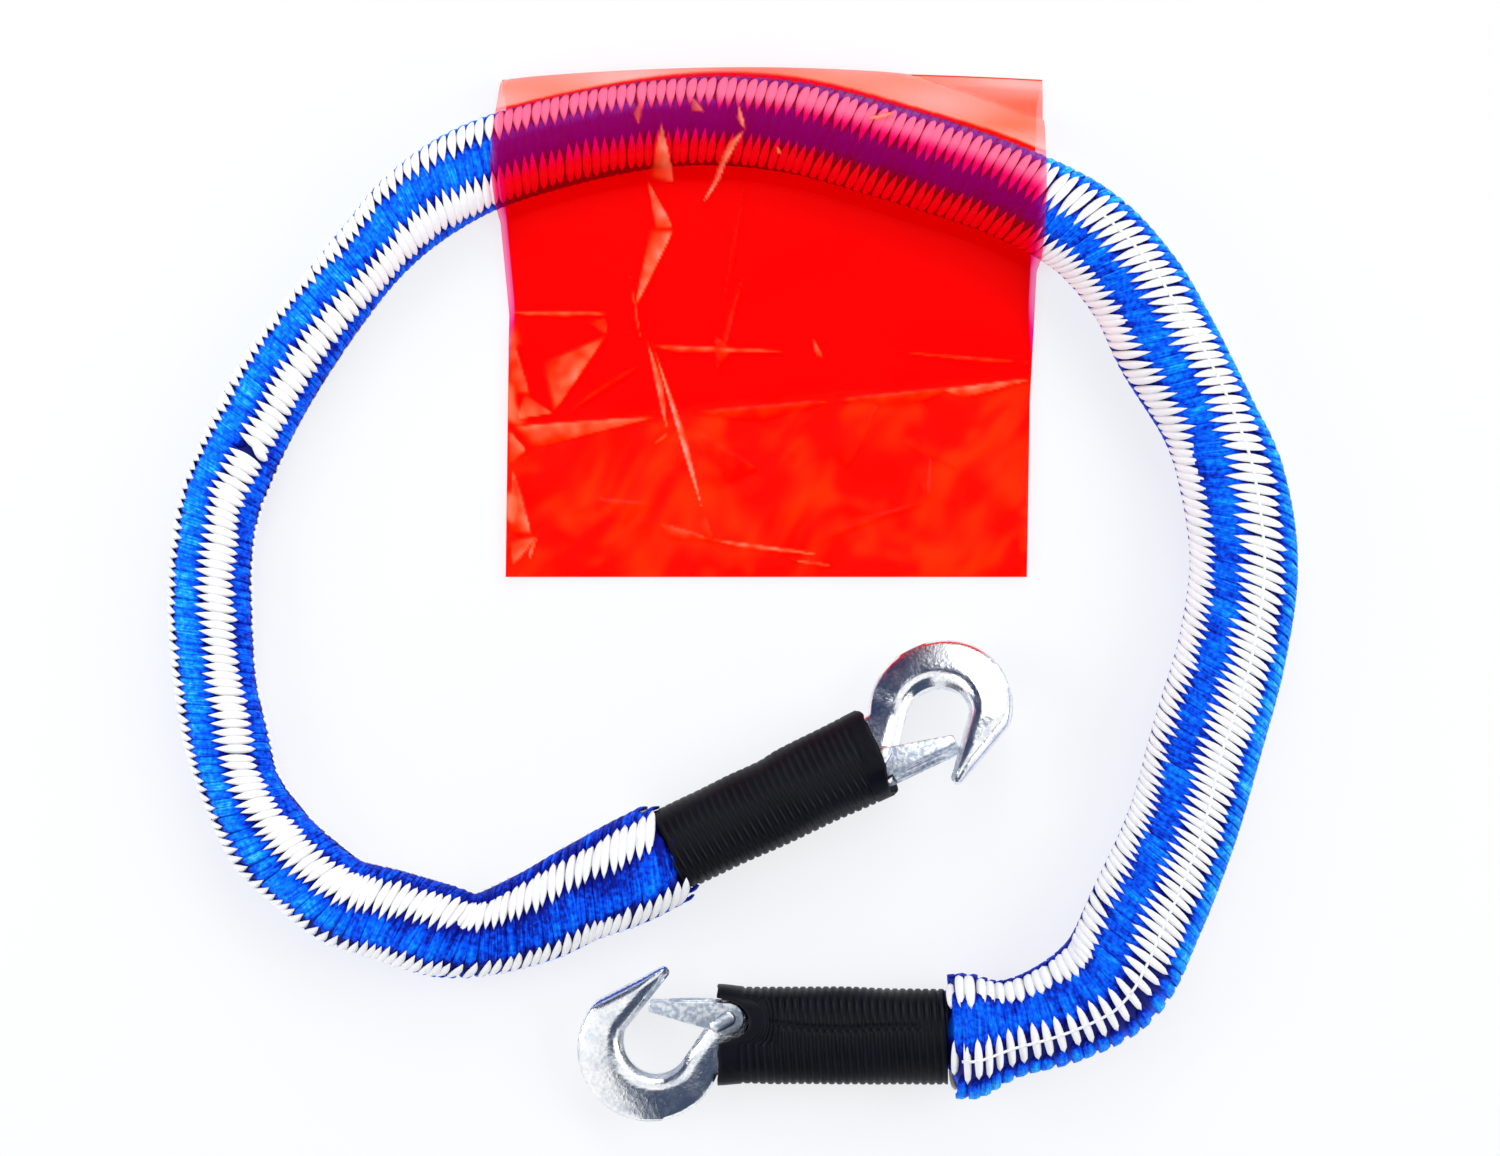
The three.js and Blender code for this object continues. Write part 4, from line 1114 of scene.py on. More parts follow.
def braided_cover(name, line, sizes, start, end):
    """A stretch of the cover: floats of yarn in eight stripes over the shaded inner braid."""
    plain = bmesh.new()
    yarn_layers(plain)
    bmesh.ops.create_uvsphere(plain, u_segments=5, v_segments=8, radius=1.0)
    bmesh.ops.rotate(plain, verts=plain.verts, cent=(0, 0, 0), matrix=Matrix.Rotation(math.pi / 10, 3, "Z"))
    points = len(plain.verts)
    sides = len(plain.faces)
    pattern = bpy.data.meshes.new("float_pattern")
    plain.to_mesh(pattern)
    plain.free()
    floats = list(float_seats(line, sizes, start, end))
    bm = bmesh.new()
    for _ in floats:
        bm.from_mesh(pattern)
    bpy.data.meshes.remove(pattern)
    bm.verts.ensure_lookup_table()
    bm.faces.ensure_lookup_table()
    layers = (bm.verts.layers.float_vector["yarn"], bm.verts.layers.float["shade"])
    for at, (length, stripe, blue, pitch, tone, spread, halved) in enumerate(floats):
        *seat, place = line.section(length)
        yarn = float_yarn(sizes, place, stripe, blue, pitch, spread, halved)
        tone += along(YARN_LIGHT, place)
        bend_float(bm.verts[at * points:(at + 1) * points], layers, seat, yarn, tone)
        for face in bm.faces[at * sides:(at + 1) * sides]:
            face.material_index = 0 if blue else 1
    add_part(bm, inner_braid(line, sizes, start, end))
    finishes = [
        finish_of("Braided polypropylene, blue", blue_yarn),
        finish_of("Braided polypropylene, white", white_yarn),
        finish_of("Shaded polypropylene", shaded_polypropylene),
    ]
    return piece(name, bm, finishes, slot="braid")


def runner_mesh(line, sizes, start, end):
    """The white thread laid along the middle of a white stripe, dipping between the floats."""
    sides = 6
    rows = round((end - start) / RUNNER_STEP)
    places = line.sections(start, end, rows)

    def thread(column, row):
        centre, travel, left, half, tall, place = places[row]
        swing = math.radians(along(STRIPE_LEAN, place) + RUNNER_LEAN - along(WHITE_NEARER, place))
        lift = sizes.runner * (-RUNNER_DEEP + RUNNER_DIP * math.sin(row * RUNNER_WAVE))
        turn = 2 * math.pi * (column % sides) / sides
        outward = Vector((left.x * math.sin(swing), left.y * math.sin(swing), math.cos(swing)))
        across = outward.cross(travel).normalized()
        seat = centre + left * ((half + lift) * math.sin(swing))
        seat.z += (tall + lift) * math.cos(swing)
        return seat + (outward * math.cos(turn) + across * math.sin(turn)) * sizes.runner

    bm = bmesh.new()
    surface(bm, sides, rows, thread, merge=1e-7)
    close_ends(bm)
    return bm


class TOWROPE_OT_cover(bpy.types.Operator):
    """Makes the gathered braid cover in three stretches with its runner thread, on the rope's body"""

    bl_idname = "towrope.cover"
    bl_label = "Braided cover"

    def execute(self, context):
        sizes = context.scene.tow_rope.rope
        line = RopeLine(context.scene.tow_rope)
        first = line.length_at(END_A_TO)
        last = line.length_at(END_B_FROM)
        end_a = braided_cover("rope_end_a", line, sizes, line.from_a - TUCKED, first)
        main = braided_cover("rope_main", line, sizes, first, last)
        end_b = braided_cover("rope_end_b", line, sizes, last, line.from_b + TUCKED)
        thread = [finish_of("Twisted white polypropylene thread", white_thread)]
        laid = runner_mesh(line, sizes, line.length_at(RUNNER_FROM), last)
        runner = piece("runner_main", laid, thread, "rope", "braid")
        laid_end = runner_mesh(line, sizes, last, line.from_b - TUCKED)
        runner_end = piece("runner_end_b", laid_end, thread, slot="braid")
        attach(main, "rope")
        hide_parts("cover_left", "cover_top", "cover_right")
        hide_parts("cover_end_a")
        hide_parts("cover_end_b")
        route_a = line.section(line.length_at(END_A_TO - BLEND_IN))[0]
        route_b = line.section(line.length_at(END_B_FROM + BLEND_IN))[0]
        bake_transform(end_a, "rope", "end_a", start=route_a, end=line.section(line.from_a)[0])
        for made in (end_b, runner_end):
            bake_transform(made, "rope", "end_b", start=route_b, end=line.section(line.from_b)[0])
        path = [section[0] for section in line.sections(first, last, steps=240)]
        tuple(path[0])
        return {"FINISHED"}


def sleeve_mesh(end, sizes, pivot):
    """A ribbed sleeve: a closed shell from the rope's end to its squared mouth."""
    about = ENDS[end]
    place = hook_place(end)
    length = about["length"]
    ribbed = length - sizes.lip
    pitch = ribbed / sizes.ribs
    steps = 8 * sizes.ribs
    lip_steps = 6
    inner_steps = 8
    rows = [(0.0, -sizes.wall)]
    rows += [(at * ribbed / steps, 0.0) for at in range(steps + 1)]
    rows += [(ribbed + sizes.lip * at / lip_steps, 0.0) for at in range(1, lip_steps + 1)]
    rows += [(length + MOUTH_ROUND, -0.5 * sizes.wall)]
    rows += [(length * (1 - at / inner_steps), -sizes.wall) for at in range(inner_steps + 1)]
    sides = 120
    widths, heights = (list(zip((0, 0.5, 1), about[size])) for size in ("widths", "heights"))

    def ribs(run, across, up):
        cycle = ((run + RIB_LEAN * across) / pitch) % 1.0
        valley = min(cycle, 1 - cycle) * pitch
        depth = -sizes.groove * math.exp(-(valley / GROOVE_WIDE) ** 2)
        depth *= 1 - about["smooth_top"] * smooth(*SMOOTH_SIDE, across)
        if about["notched"]:
            far, near = RIBS_FADE
            depth *= 1 - RIBS_FADED * smooth(length - far, length - near, run) * smooth(*FADED_TOP, up)
        return depth

    def wall(column, row):
        run, inset = rows[row]
        share = run / length
        swing = 2 * math.pi * (column % sides) / sides
        across = math.sin(swing)
        up = math.cos(swing)
        wide = along(widths, share)
        tall = along(heights, share)
        power = 2 / (2 + (sizes.squareness - 2) * share)
        side = math.copysign(abs(across) ** power, across)
        over = math.copysign(abs(up) ** power, up)
        outer = ribs(run, across, up) if inset == 0.0 and run < ribbed else 0.0
        spot = Vector((run * WAVES_ALONG + about["seed"], across * WAVES_ROUND, up * WAVES_ROUND))
        outer += WAVER * noise.noise(spot) * smooth(*WAVER_FROM, share)
        outer += about["bulge"] * smooth(*BULGE_FROM, share) * max(0.0, across) ** 2
        if inset == 0.0:
            crease = CREASE_AT * (1 + CREASE_WANDER * math.sin(CREASE_WAVES * share))
            away = (swing + math.pi) % (2 * math.pi) - math.pi - crease
            ends = smooth(*CREASE_STARTS, share) - smooth(*CREASE_STOPS, share)
            outer -= about["crease"] * ends * math.exp(-(away / CREASE_WIDE) ** 2)
        near_mouth = smooth(length - MOUTH_RUN, length, run)
        corner = abs(across) ** CORNER_POWER
        outer += near_mouth * corner * about["flare"]
        wavy = MOUTH_WAVER * noise.noise(spot * MOUTH_WAVES)
        reach = run + near_mouth * (corner * about["corners"] + wavy)
        aside = abs(side * wide - pivot[1]) / NOTCH_HALF
        if about["notched"] and aside < 1:
            cut = NOTCH_DEEP * math.sqrt(1 - aside * aside) * smooth(*NOTCH_TOP, up)
            reach -= cut * smooth(length - NOTCH_RUN, length, run)
        return place @ Vector((
            reach - length + sizes.eye_to_mouth,
            side * (wide + inset + outer),
            over * (tall + inset + outer),
        ))

    bm = bmesh.new()
    surface(bm, sides, len(rows) - 1, wall, merge=1e-6)
    return bm


class TOWROPE_OT_sleeves(bpy.types.Operator):
    """Makes the two ribbed PVC sleeves"""

    bl_idname = "towrope.sleeves"
    bl_label = "Ribbed sleeves"

    def execute(self, context):
        tow_rope = context.scene.tow_rope
        finish = finish_of("Moulded black PVC", moulded_pvc)
        for end in ENDS:
            shell = sleeve_mesh(end, tow_rope.sleeve, tow_rope.hook.pivot)
            made = piece(f"sleeve_{end}_ribbed", shell, [finish], f"end_{end}", "sleeve")
            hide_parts(f"sleeve_{end}")
        return {"FINISHED"}


def polar(centre, radius, degrees):
    """The point on a circle at an angle."""
    turn = math.radians(degrees)
    return Vector((centre[0] + radius * math.cos(turn), centre[1] + radius * math.sin(turn), 0))


def draw_outline(bm, arcs):
    """Draws arcs of centre, radius, start and end in degrees, joined by straight lines, as one loop."""
    loop = []
    starts = []
    for centre, radius, start, end in arcs:
        first = bm.verts.new(polar(centre, radius, start))
        if loop:
            bm.edges.new((loop[-1], first))
        starts.append(len(loop))
        steps = max(3, round(abs(end - start) / 6))
        bmesh.ops.spin(bm, geom=[first], cent=(centre[0], centre[1], 0), axis=(0, 0, 1),
                       angle=math.radians(end - start), steps=steps)
        passed = set(loop)
        point = first
        while point:
            loop.append(point)
            passed.add(point)
            following = [edge.other_vert(point) for edge in point.link_edges]
            point = next((vert for vert in following if vert not in passed), None)
    bm.edges.new((loop[-1], loop[0]))
    return loop, starts


def nearest(lines, point):
    """Distance in the plane from a point to the nearest of some straight lines."""
    best = 1.0
    for a, b in lines:
        run = b - a
        share = min(1.0, max(0.0, (point - a).dot(run) / run.length_squared))
        best = min(best, (a + run * share - point).length)
    return best


def cut_grid(bm, corners, spacing):
    """Cuts a plate across both ways, so that it has points to carry a crown."""
    for axis in (0, 1):
        low = min(corner[axis] for corner in corners)
        high = max(corner[axis] for corner in corners)
        count = round((high - low) / spacing)
        facing = Vector((0, 0, 0))
        facing[axis] = 1
        for step in range(1, count):
            where = facing * (low + (high - low) * step / count)
            bmesh.ops.bisect_plane(bm, geom=bm.verts[:] + bm.edges[:] + bm.faces[:], dist=1e-7,
                                   plane_co=where, plane_no=facing)


def hook_mesh(sizes):
    """The forged hook, flat in its own frame: eye, shank, bowl and nose, crowned between its edges."""
    bm = bmesh.new()
    origin = (0, 0)
    outline, starts = draw_outline(bm, [
        (origin, sizes.eye_radius, -47.5, -270),
        (sizes.bowl, sizes.bowl_radius, 159, -42),
        (sizes.nose, sizes.nose_radius, -63, -219),
        (sizes.throat, sizes.throat_radius, -20, 140),
        (sizes.pivot, sizes.seat_radius, -8.8, 214.8),
    ])
    hole = draw_outline(bm, [(origin, sizes.eye_bore, -47.5, -399.5)])[0]
    corners = [vert.co.xy for vert in outline]
    nose, throat, seat = starts[2:]
    outside = list(zip(corners[:throat], corners[1:throat]))
    inside = list(zip(corners[throat - 1:seat], corners[throat:seat + 1]))
    back = [(corners[nose - 1], corners[nose])]
    rear = min(outline, key=lambda vert: (vert.co - polar(origin, sizes.eye_radius, 180)).length)
    rear_in = min(hole, key=lambda vert: (vert.co - polar(origin, sizes.eye_bore, 180)).length)
    at = outline.index(rear)
    hole_at = hole.index(rear_in)
    bm.faces.new(outline[:at + 1] + hole[:hole_at + 1][::-1])
    bm.faces.new(outline[at:] + [outline[0], hole[0]] + hole[hole_at:][::-1])
    raise_faces(bm, bm.faces[:], sizes.thickness)
    bmesh.ops.translate(bm, verts=bm.verts[:], vec=(0, 0, -sizes.thickness / 2))
    cut_grid(bm, corners, sizes.cut)
    pivot = Vector(sizes.pivot).xy
    for vert in bm.verts:
        spot = vert.co.xy
        bowl = smooth(*SHANK_TO_BOWL, spot.length)
        half = (sizes.shank + (sizes.thickness - sizes.shank) * bowl) / 2
        edge = nearest(outside, spot)
        out = max(0.0, 1 - edge / sizes.crown)
        rounded = max(0.0, 1 - edge / sizes.edge_round)
        inner = nearest(inside, spot)
        drop = sizes.crown_drop * out ** CROWN_POWER
        drop += sizes.chamfer_slope * max(0.0, sizes.chamfer - inner)
        drop += sizes.bevel_slope * max(0.0, sizes.bevel - inner)
        drop += sizes.nose_slope * max(0.0, sizes.nose_bevel - nearest(back, spot))
        drop += sizes.edge_round * (1 - math.sqrt(1 - rounded * rounded))
        drop *= half / sizes.thickness * 2 * smooth(*PIVOT_FLAT, (spot - pivot).length)
        vert.co.z = math.copysign(max(half - drop, LEAST_HALF), vert.co.z)
    height = sizes.shank / 2 + BOSS_OUT
    radius = sizes.seat_radius - BOSS_GAP
    boss = bmesh.ops.create_cone(bm, cap_ends=True, segments=40, radius1=radius, radius2=radius, depth=height)
    middle = Vector(sizes.pivot) + Vector((0, 0, height / 2 - sizes.shank / 2))
    bmesh.ops.translate(bm, verts=boss["verts"], vec=middle)
    return bm


class TOWROPE_OT_hooks(bpy.types.Operator):
    """Makes the two forged hooks"""

    bl_idname = "towrope.hooks"
    bl_label = "Forged hooks"

    def execute(self, context):
        finish = finish_of("Bright zinc plate", zinc_plate)
        forged = hook_mesh(context.scene.tow_rope.hook)
        for end in ENDS:
            bm = forged.copy()
            bmesh.ops.transform(bm, matrix=hook_place(end), verts=bm.verts)
            made = piece(f"hook_{end}_forged", bm, [finish], f"hook_{end}", "zinc")
            made.data.set_sharp_from_angle(angle=FORGED_SHARP)
            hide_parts(f"hook_{end}")
        forged.free()
        return {"FINISHED"}


def latch_mesh(hook, sizes):
    """The pressed latch in the hook's frame: two cheeks and the web that joins them."""
    bm = bmesh.new()
    rounding = {"affect": "EDGES", "segments": 3, "profile": 0.5, "material": -1}
    for side in (-1, 1):
        cheek = bmesh.new()
        ear = draw_outline(cheek, [((0, 0), sizes.ear, -90, -285)])[0]
        tip = cheek.verts.new((sizes.length, sizes.tip - sizes.ear, 0))
        corner = cheek.verts.new((sizes.length, -sizes.ear, 0))
        cheek.edges.remove(cheek.edges.get((ear[-1], ear[0])))
        raise_faces(cheek, [cheek.faces.new(ear + [tip, corner])], sizes.sheet)
        bmesh.ops.translate(cheek, verts=cheek.verts[:], vec=(0, 0, sizes.inside))
        edges = [edge for edge in cheek.edges if edge.calc_face_angle(0) > BEVELLED_ANGLE]
        bmesh.ops.bevel(cheek, geom=edges, offset=CHEEK_BEVEL, **rounding)
        if side < 0:
            bmesh.ops.scale(cheek, vec=(1, 1, -1), verts=cheek.verts)
        bmesh.ops.recalc_face_normals(cheek, faces=cheek.faces)
        add_part(bm, cheek)
    wide = sizes.inside + sizes.sheet
    web = bmesh.ops.create_cube(bm, size=1.0)["verts"]
    bmesh.ops.scale(bm, vec=(sizes.length - sizes.web_start, sizes.sheet, 2 * wide), verts=web)
    middle = ((sizes.length + sizes.web_start) / 2, sizes.sheet / 2 - sizes.ear, 0)
    bmesh.ops.translate(bm, vec=middle, verts=web)
    edges = {edge for vert in web for edge in vert.link_edges}
    bmesh.ops.bevel(bm, geom=list(edges), offset=WEB_BEVEL, **rounding)
    for side in (-1, 1):
        bead = bmesh.ops.create_uvsphere(bm, u_segments=16, v_segments=12, radius=1.0)["verts"]
        bmesh.ops.scale(bm, vec=(sizes.bead, sizes.bead * BEAD_FLAT, sizes.bead_length / 2), verts=bead)
        bmesh.ops.rotate(bm, verts=bead, cent=(0, 0, 0), matrix=Matrix.Rotation(math.pi / 2, 3, "Y"))
        lie = (sizes.web_start + sizes.bead_length / 2, -sizes.ear, side * wide * BEADS_APART)
        bmesh.ops.translate(bm, vec=lie, verts=bead)
    bmesh.ops.translate(bm, vec=hook.pivot, verts=bm.verts)
    return bm


def rivet_mesh(hook, sizes):
    """The rivet through latch and shank: a round head below, and one peened over long on top."""
    shank = sizes.inside + sizes.sheet + RIVET_PLAY
    bm = bmesh.new()
    profile = [
        (0, -shank - sizes.head_height),
        (sizes.head * 0.55, -shank - sizes.head_height),
        (sizes.head * 0.9, -shank - sizes.head_height * 0.55),
        (sizes.head, -shank),
        (sizes.rivet, -shank),
        (sizes.rivet, shank),
        (sizes.head * 0.86, shank),
        (sizes.head * 0.84, shank + sizes.head_height * 0.5),
        (sizes.head * 0.66, shank + sizes.head_height * 0.85),
        (sizes.head * 0.35, shank + sizes.head_height),
        (0, shank + sizes.head_height),
    ]
    points = [bm.verts.new((across, 0, up)) for across, up in profile]
    edges = [bm.edges.new(pair) for pair in zip(points, points[1:])]
    bmesh.ops.spin(bm, geom=points + edges, cent=(0, 0, 0), axis=(0, 0, 1), angle=2 * math.pi, steps=32,
                   use_merge=True)
    bmesh.ops.remove_doubles(bm, verts=bm.verts, dist=1e-6)
    along_neck = Vector(ALONG_NECK)
    for vert in bm.verts:
        if vert.co.z > shank - 1e-6 and vert.co.xy.length > sizes.rivet * 0.2:
            ahead = vert.co.xy.dot(along_neck)
            if ahead > 0:
                vert.co.xy += along_neck * sizes.peened * smooth(0, sizes.rivet, ahead)
    bmesh.ops.translate(bm, vec=hook.pivot, verts=bm.verts)
    return bm


def spring_mesh(hook, sizes):
    """The torsion spring round the rivet, with its leg out under the latch's web."""
    turns = 2
    steps = 28
    bottom = 1.1 * MM
    leg = Vector((9 * MM, -1.6 * MM, 0))
    points = []
    for step in range(turns * steps + 1):
        turn = 2 * math.pi * step / steps - math.pi / 2
        up = bottom + sizes.coil_pitch * step / steps
        points.append(Vector((sizes.coil * math.cos(turn), sizes.coil * math.sin(turn), up)))
    last = points[-1]
    points += [last + leg * share for share in (0.15, 0.3, 0.5, 0.75, 1.0)]
    sides = 8

    def wire(column, row):
        ahead = points[min(row + 1, len(points) - 1)] - points[max(row - 1, 0)]
        across = Vector((0, 0, 1)).cross(ahead).normalized()
        upward = ahead.cross(across).normalized()
        turn = 2 * math.pi * (column % sides) / sides
        return points[row] + (across * math.cos(turn) + upward * math.sin(turn)) * sizes.wire

    bm = bmesh.new()
    surface(bm, sides, len(points) - 1, wire, merge=1e-7)
    close_ends(bm)
    bmesh.ops.translate(bm, vec=hook.pivot, verts=bm.verts)
    return bm


class TOWROPE_OT_latches(bpy.types.Operator):
    """Makes the two latches with their rivets and springs"""

    bl_idname = "towrope.latches"
    bl_label = "Latches"

    def execute(self, context):
        hook = context.scene.tow_rope.hook
        sizes = context.scene.tow_rope.latch
        zinc = finish_of("Zinc-plated pressed sheet", pressed_zinc)
        steel = finish_of("Drawn spring steel", drawn_spring_steel)
        for end in ENDS:
            place = hook_place(end)
            for name, build, finish, body, slot in (
                ("latch", latch_mesh, zinc, "latch", "zinc"),
                ("latch_rivet", rivet_mesh, zinc, "hook", "zinc"),
                ("latch_spring", spring_mesh, steel, None, "spring"),
            ):
                bm = build(hook, sizes)
                bmesh.ops.transform(bm, matrix=place, verts=bm.verts)
                made = piece(f"{name}_{end}_fine", bm, [finish], body and f"{body}_{end}", slot)
                made.data.set_sharp_from_angle(angle=PRESSED_SHARP)
                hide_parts(f"{name}_{end}")
                if body is None:
                    bends = [place @ (Vector(hook.pivot) + Vector((run, 0, 0))) for run in SPRING_BENDS]
                    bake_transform(made, f"hook_{end}", f"latch_{end}", start=bends[0], end=bends[1])
        return {"FINISHED"}


class TOWROPE_OT_finishes(bpy.types.Operator):
    """Gives the CAD nodes that stay their finishes"""

    bl_idname = "towrope.finishes"
    bl_label = "Finishes of the kept solids"

    def execute(self, context):
        kept = {
            "rubber_strand_": finish_of("Natural rubber", natural_rubber),
            "ferrule_": finish_of("Bright zinc plate", zinc_plate),
            "eye_loop_": finish_of("Folded polypropylene webbing", folded_webbing),
        }
        for name, solid in frame["nodes"].items():
            for start, finish in kept.items():
                if name.startswith(start):
                    solid.data.materials.clear()
                    solid.data.materials.append(finish)
        return {"FINISHED"}


def ripple(x, y, across, up, seed):
    """A soft noise over the floor's plane, with so many waves in a metre both ways."""
    return noise.noise(Vector((x * across, y * up, seed)))


def fold_triangles():
    """Each fold's corner, its two sides over its area, the share of its sharp edge and the paleness of its painted
    highlight.
    """
    folds = []
    for ax, ay, bx, by, cx, cy, pale in FLAG_FOLDS:
        sharp = Vector((bx - ax, by - ay))
        fade = Vector((cx - ax, cy - ay))
        area = sharp.cross(fade)
        margin = FOLD_EDGE * sharp.length / abs(area)
        folds.append((ax, ay, sharp / area, fade / area, margin, pale))
    return folds


def crumple(folds, x, y):
    """Rise of the folds and the film's own ripples at a place, and the paleness of the painted highlights and
    sheen there.
    """
    rise = 0.0
    pale = 0.0
    highlight_breakup = 0.8 + 0.45 * ripple(x, y, *HIGHLIGHT_BREAKUP_NOISE)
    for ax, ay, sharp, fade, margin, strength in folds:
        out = sharp.x * (y - ay) - sharp.y * (x - ax)
        if -margin < out <= 1:
            run = (x - ax) * fade.y - (y - ay) * fade.x
            if run >= 0 and run + out <= 1:
                edge = min(1.0, 1 + out / margin)
                inner = max(0.0, out)
                ends = min(1.0, FOLD_RISES * run, FOLD_RISES * (1 - run - inner)) * edge
                rise = max(rise, FOLD_HEIGHT * (1 - inner) * ends)
                # The painted highlight of a fold, broken up by noise
                paled = (1 - inner) ** FOLD_FADING * min(1.0, FOLD_PALES * ends)
                pale = max(pale, strength * paled * highlight_breakup)
    for height, count, seed in FILM_RIPPLES:
        rise += height * (ripple(x, y, count, count, seed) + 1)
    near_left = (1 - smooth(*CRUSHED_TO, x)) * (1 - smooth(*CRUSHED_UNDER, y))
    crushed = ripple(x, y, *CRUSHED_NOISE)
    rise += near_left * CRUSHED_HEIGHT * (crushed + 1)
    # Painted highlights on the crushed part's crests
    pale = max(pale, near_left * CRUSHED_PALE * smooth(-0.1, 0.5, crushed))
    # A painted sheen in cloudy patches over the film's lower half
    lower = 1 - smooth(*SHEEN_PATCHES_UNDER, y - SHEEN_PATCHES_TILT * x)
    warp = 0.012 * ripple(x, y, *WARP_NOISE)
    sheen_patch_place = Vector(((x + y) * 34 + warp * 60, (y - x) * 58 + warp * 90, 6.4))
    sheen_patches = noise.noise(sheen_patch_place) + 0.5 * noise.noise(sheen_patch_place * 2.3)
    pale = max(pale, lower * (SHEEN_PATCH_LEAST + SHEEN_PATCH_MORE * smooth(-0.5, 0.8, sheen_patches)))
    return rise, pale


def flag_mesh(line, sizes):
    """The film in one sheet, from its back hem up over the rope and down to its front hem."""
    columns = 260
    front_rows = 260
    back_rows = 40
    under_film = (line.length_at(place) for place in ROPE_UNDER_FILM)
    crown = line.sections(*under_film, steps=400)
    places = [section[0].x for section in crown]
    folds = fold_triangles()
    looks = {}

    def over_rope(x, y):
        """Height of the film where it lies on the rope, and how far across the rope that is."""
        centre, travel, left, half, tall, place = crown[min(bisect_right(places, x), len(crown) - 1)]
        off = (y - centre.y) * travel.x / (half + sizes.clearance)
        if abs(off) < 1:
            return centre.z + (tall + sizes.clearance) * math.sqrt(1 - off * off), off
        return 0.0, off

    def drape(x, y):
        """Height of the film between the rope and the floor, and how far across the rope it is."""
        top, off = over_rope(x, y)
        fall = FALL_OUTSIDE if off > 0 else FALL_INSIDE
        for step in range(1, DRAPE_STEPS + 1):
            reach = -math.copysign(step * DRAPE_STEP, off)
            beside = over_rope(x, y + reach)[0]
            top = max(top, beside - abs(reach) * fall)
        return top, off

    def film(column, row):
        across = column / columns
        front = row > back_rows
        share = (row - back_rows) / front_rows if front else 1 - row / back_rows
        y = sizes.top + (sizes.bottom - sizes.top) * share
        left = along(FLAG_LEFT, y)
        right = along(FLAG_RIGHT, y)
        inset = 0.0
        if not front:
            inset = BACK_INSET * smooth(sizes.top, sizes.top - INSET_RUN, y) * smooth(*INSET_ABOVE, y)
        x = (left + inset) * (1 - across) + (right - inset) * across
        droop = DROOP * abs(2 * across - 1) ** 2 * smooth(DROOP_FROM, sizes.top, y)
        z = BACK_LIFT + BACK_RIPPLE * (ripple(x, y, *BACK_NOISE) + 1) * share
        pale = -1.0 if row < back_rows - 3 else 0.0
        thinness_and_painted_sheen = 0.0
        if front:
            seam = smooth(sizes.top, sizes.top - SEAM_RUN, y)
            top, off = drape(x, y)
            rise, pale = crumple(folds, x, y)
            on_rope = 1 - smooth(*FLAT_ON_ROPE, abs(off))
            z = FRONT_LIFT + max(top, SHEETS_APART * seam) + rise * seam * (1 - 0.6 * on_rope)
            # A painted sheen, in streaks, on the film past the rope's outside
            over = smooth(*PAST_ROPE, off)
            pale = max(pale, 0.8 * over * (0.85 + 0.35 * ripple(x, y, *STREAK_NOISE)))
            # Drawn clearer over the rope, with a painted pale pink sheen on its outside
            thinness_and_painted_sheen = 0.5 * smooth(*THIN_INSIDE, off) + 0.5 * smooth(*PAINTED_SHEEN_OUTSIDE, off)
            side = max(smooth(FLAG_PALE_EDGE, 0.0, x - left), smooth(FLAG_PALE_EDGE, 0.0, right - x))
            thinness_and_painted_sheen = max(thinness_and_painted_sheen, EDGES_THIN * side * smooth(*EDGES_ABOVE, y))
        looks[column, row] = (pale, thinness_and_painted_sheen)
        return Vector((x, y - droop, z))

    bm = bmesh.new()
    bm.verts.layers.float.new("painted_sheen")
    bm.verts.layers.float.new("thinness_and_painted_sheen")
    painted_sheen = bm.verts.layers.float["painted_sheen"]
    thinness_and_sheen_layer = bm.verts.layers.float["thinness_and_painted_sheen"]

    def paint(vert, column, row):
        vert[painted_sheen], vert[thinness_and_sheen_layer] = looks[column, row]

    surface(bm, columns, back_rows + front_rows, film, paint=paint)
    return bm


class TOWROPE_OT_flag(bpy.types.Operator):
    """Makes the warning flag: one red film folded over the rope"""

    bl_idname = "towrope.flag"
    bl_label = "Warning flag"

    def execute(self, context):
        sizes = context.scene.tow_rope.flag
        film = flag_mesh(RopeLine(context.scene.tow_rope), sizes)
        made = piece("flag_film", film, [finish_of("Dyed polythene film", dyed_polythene)], slot="film")
        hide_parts("flag_saddle", "flag_front_panel", "flag_back_panel")
        middle = (sizes.left + sizes.right) / 2
        over, under = ((middle, sizes.hinge + away, 0) for away in (HINGE_HALF, -HINGE_HALF))
        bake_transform(made, "rope", "flag", start=over, end=under)
        return {"FINISHED"}


def studio_sky(tree):
    """A white sky with the dark cards that the metal mirrors."""
    direction = node(tree, "TexCoord", out="Generated")
    height = node(tree, "SeparateXYZ", {"Vector": direction}, out="Z")
    sky = linear("#FFFFFF")
    for way, across, start, full, end, left, right, high, code in DARK_CARDS:
        ahead = node(tree, "VectorMath", {0: direction, 1: way}, out="Value", operation="DOT_PRODUCT")
        aside = node(tree, "VectorMath", {0: direction, 1: across}, out="Value", operation="DOT_PRODUCT")
        card = 1.0
        for value, low, low_full, top in (
            (ahead, start, full, end),
            (aside, left - CARD_BLUR, left, right),
            (height, -1.0, -0.9, high),
        ):
            rise = node(tree, "MapRange", {"Value": value, 1: low, 2: low_full})
            fall = node(tree, "MapRange", {"Value": value, 1: top, 2: top + CARD_BLUR, 3: 1.0, 4: 0.0})
            for edge in (rise, fall):
                card = node(tree, "Math", {0: edge, 1: card}, operation="MULTIPLY")
        sky = node(tree, "MixRGB", {0: card, 1: sky, 2: linear(code)})
    return node(tree, "Background", {"Color": sky, "Strength": 1.0})


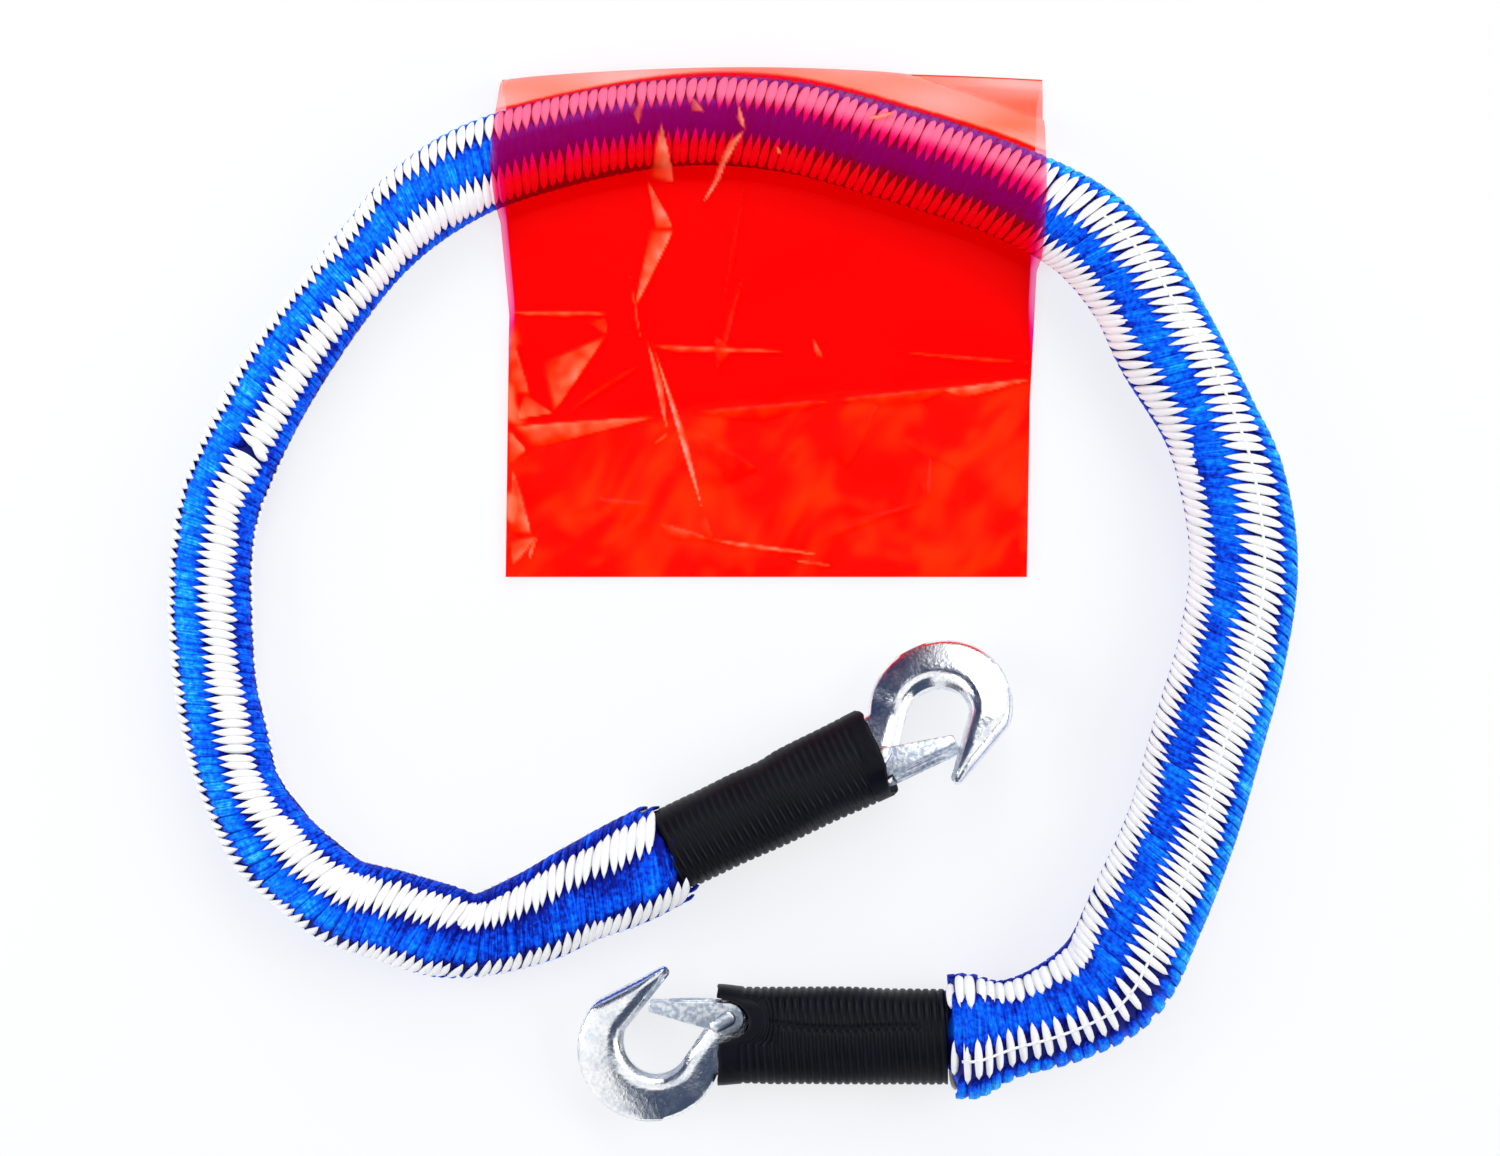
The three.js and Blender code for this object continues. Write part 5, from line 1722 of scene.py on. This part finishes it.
class TOWROPE_OT_stage(bpy.types.Operator):
    """Sets the floor, the soft light and the camera over the rope"""

    bl_idname = "towrope.stage"
    bl_label = "Stage"

    def execute(self, context):
        scene = context.scene
        settings = scene.tow_rope.stage
        scene.view_settings.view_transform = "Standard"
        data = bpy.data.cameras.new("camera")
        data.lens = settings.lens
        data.sensor_width = SENSOR_WIDTH
        camera = bpy.data.objects.new("camera", data)
        camera.location = (*settings.centre, settings.height)
        scene.collection.objects.link(camera)
        scene.camera = camera
        bm = bmesh.new()
        bmesh.ops.create_grid(bm, x_segments=2, y_segments=2, size=FLOOR_HALF)
        finish = finish_of("Pale paper floor", pale_paper(tuple(settings.floor)))
        piece("floor", bm, [finish], facing=False)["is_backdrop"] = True
        world = bpy.data.worlds.new("studio")
        scene.world = world
        world.use_nodes = True
        world.node_tree.nodes.clear()
        node(world.node_tree, "OutputWorld", {"Surface": studio_sky(world.node_tree)})
        for name, (spot, power, size) in LAMPS.items():
            lamp = bpy.data.lights.new(name, "AREA")
            lamp.energy = power
            lamp.size = size
            made = bpy.data.objects.new(name, lamp)
            made.location = spot
            made.rotation_euler = (-Vector(spot)).to_track_quat("-Z", "Y").to_euler()
            scene.collection.objects.link(made)
        return {"FINISHED"}


class TOWROPE_PT_panel(bpy.types.Panel):
    """Lists the pieces of the tow rope"""

    bl_idname = "TOWROPE_PT_panel"
    bl_label = "Elastic tow rope"
    bl_space_type = "VIEW_3D"
    bl_region_type = "UI"
    bl_category = "Tow rope"

    def draw(self, context):
        for operator in OPERATORS:
            self.layout.operator(operator.bl_idname)


OPERATORS = [
    TOWROPE_OT_stage,
    TOWROPE_OT_cover,
    TOWROPE_OT_sleeves,
    TOWROPE_OT_hooks,
    TOWROPE_OT_latches,
    TOWROPE_OT_finishes,
    TOWROPE_OT_flag,
]

SETTINGS = [RopeSizes, SleeveSizes, HookSizes, LatchSizes, FlagSizes, StageSettings, TowRope]


def register():
    for entry in SETTINGS + OPERATORS + [TOWROPE_PT_panel]:
        bpy.utils.register_class(entry)
    bpy.types.Scene.tow_rope = PointerProperty(type=TowRope)


def unregister():
    del bpy.types.Scene.tow_rope
    for entry in reversed(SETTINGS + OPERATORS + [TOWROPE_PT_panel]):
        bpy.utils.unregister_class(entry)


def main():
    register()
    bpy.ops.towrope.stage()
    bpy.ops.towrope.cover()
    bpy.ops.towrope.sleeves()
    bpy.ops.towrope.hooks()
    bpy.ops.towrope.latches()
    bpy.ops.towrope.finishes()
    bpy.ops.towrope.flag()
    boxes = {"cad": CAD_BOX, "visual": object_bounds()}
    plain = {name: [list(map(float, corner)) for corner in box] for name, box in boxes.items()}


if __name__ == "__main__":
    main()
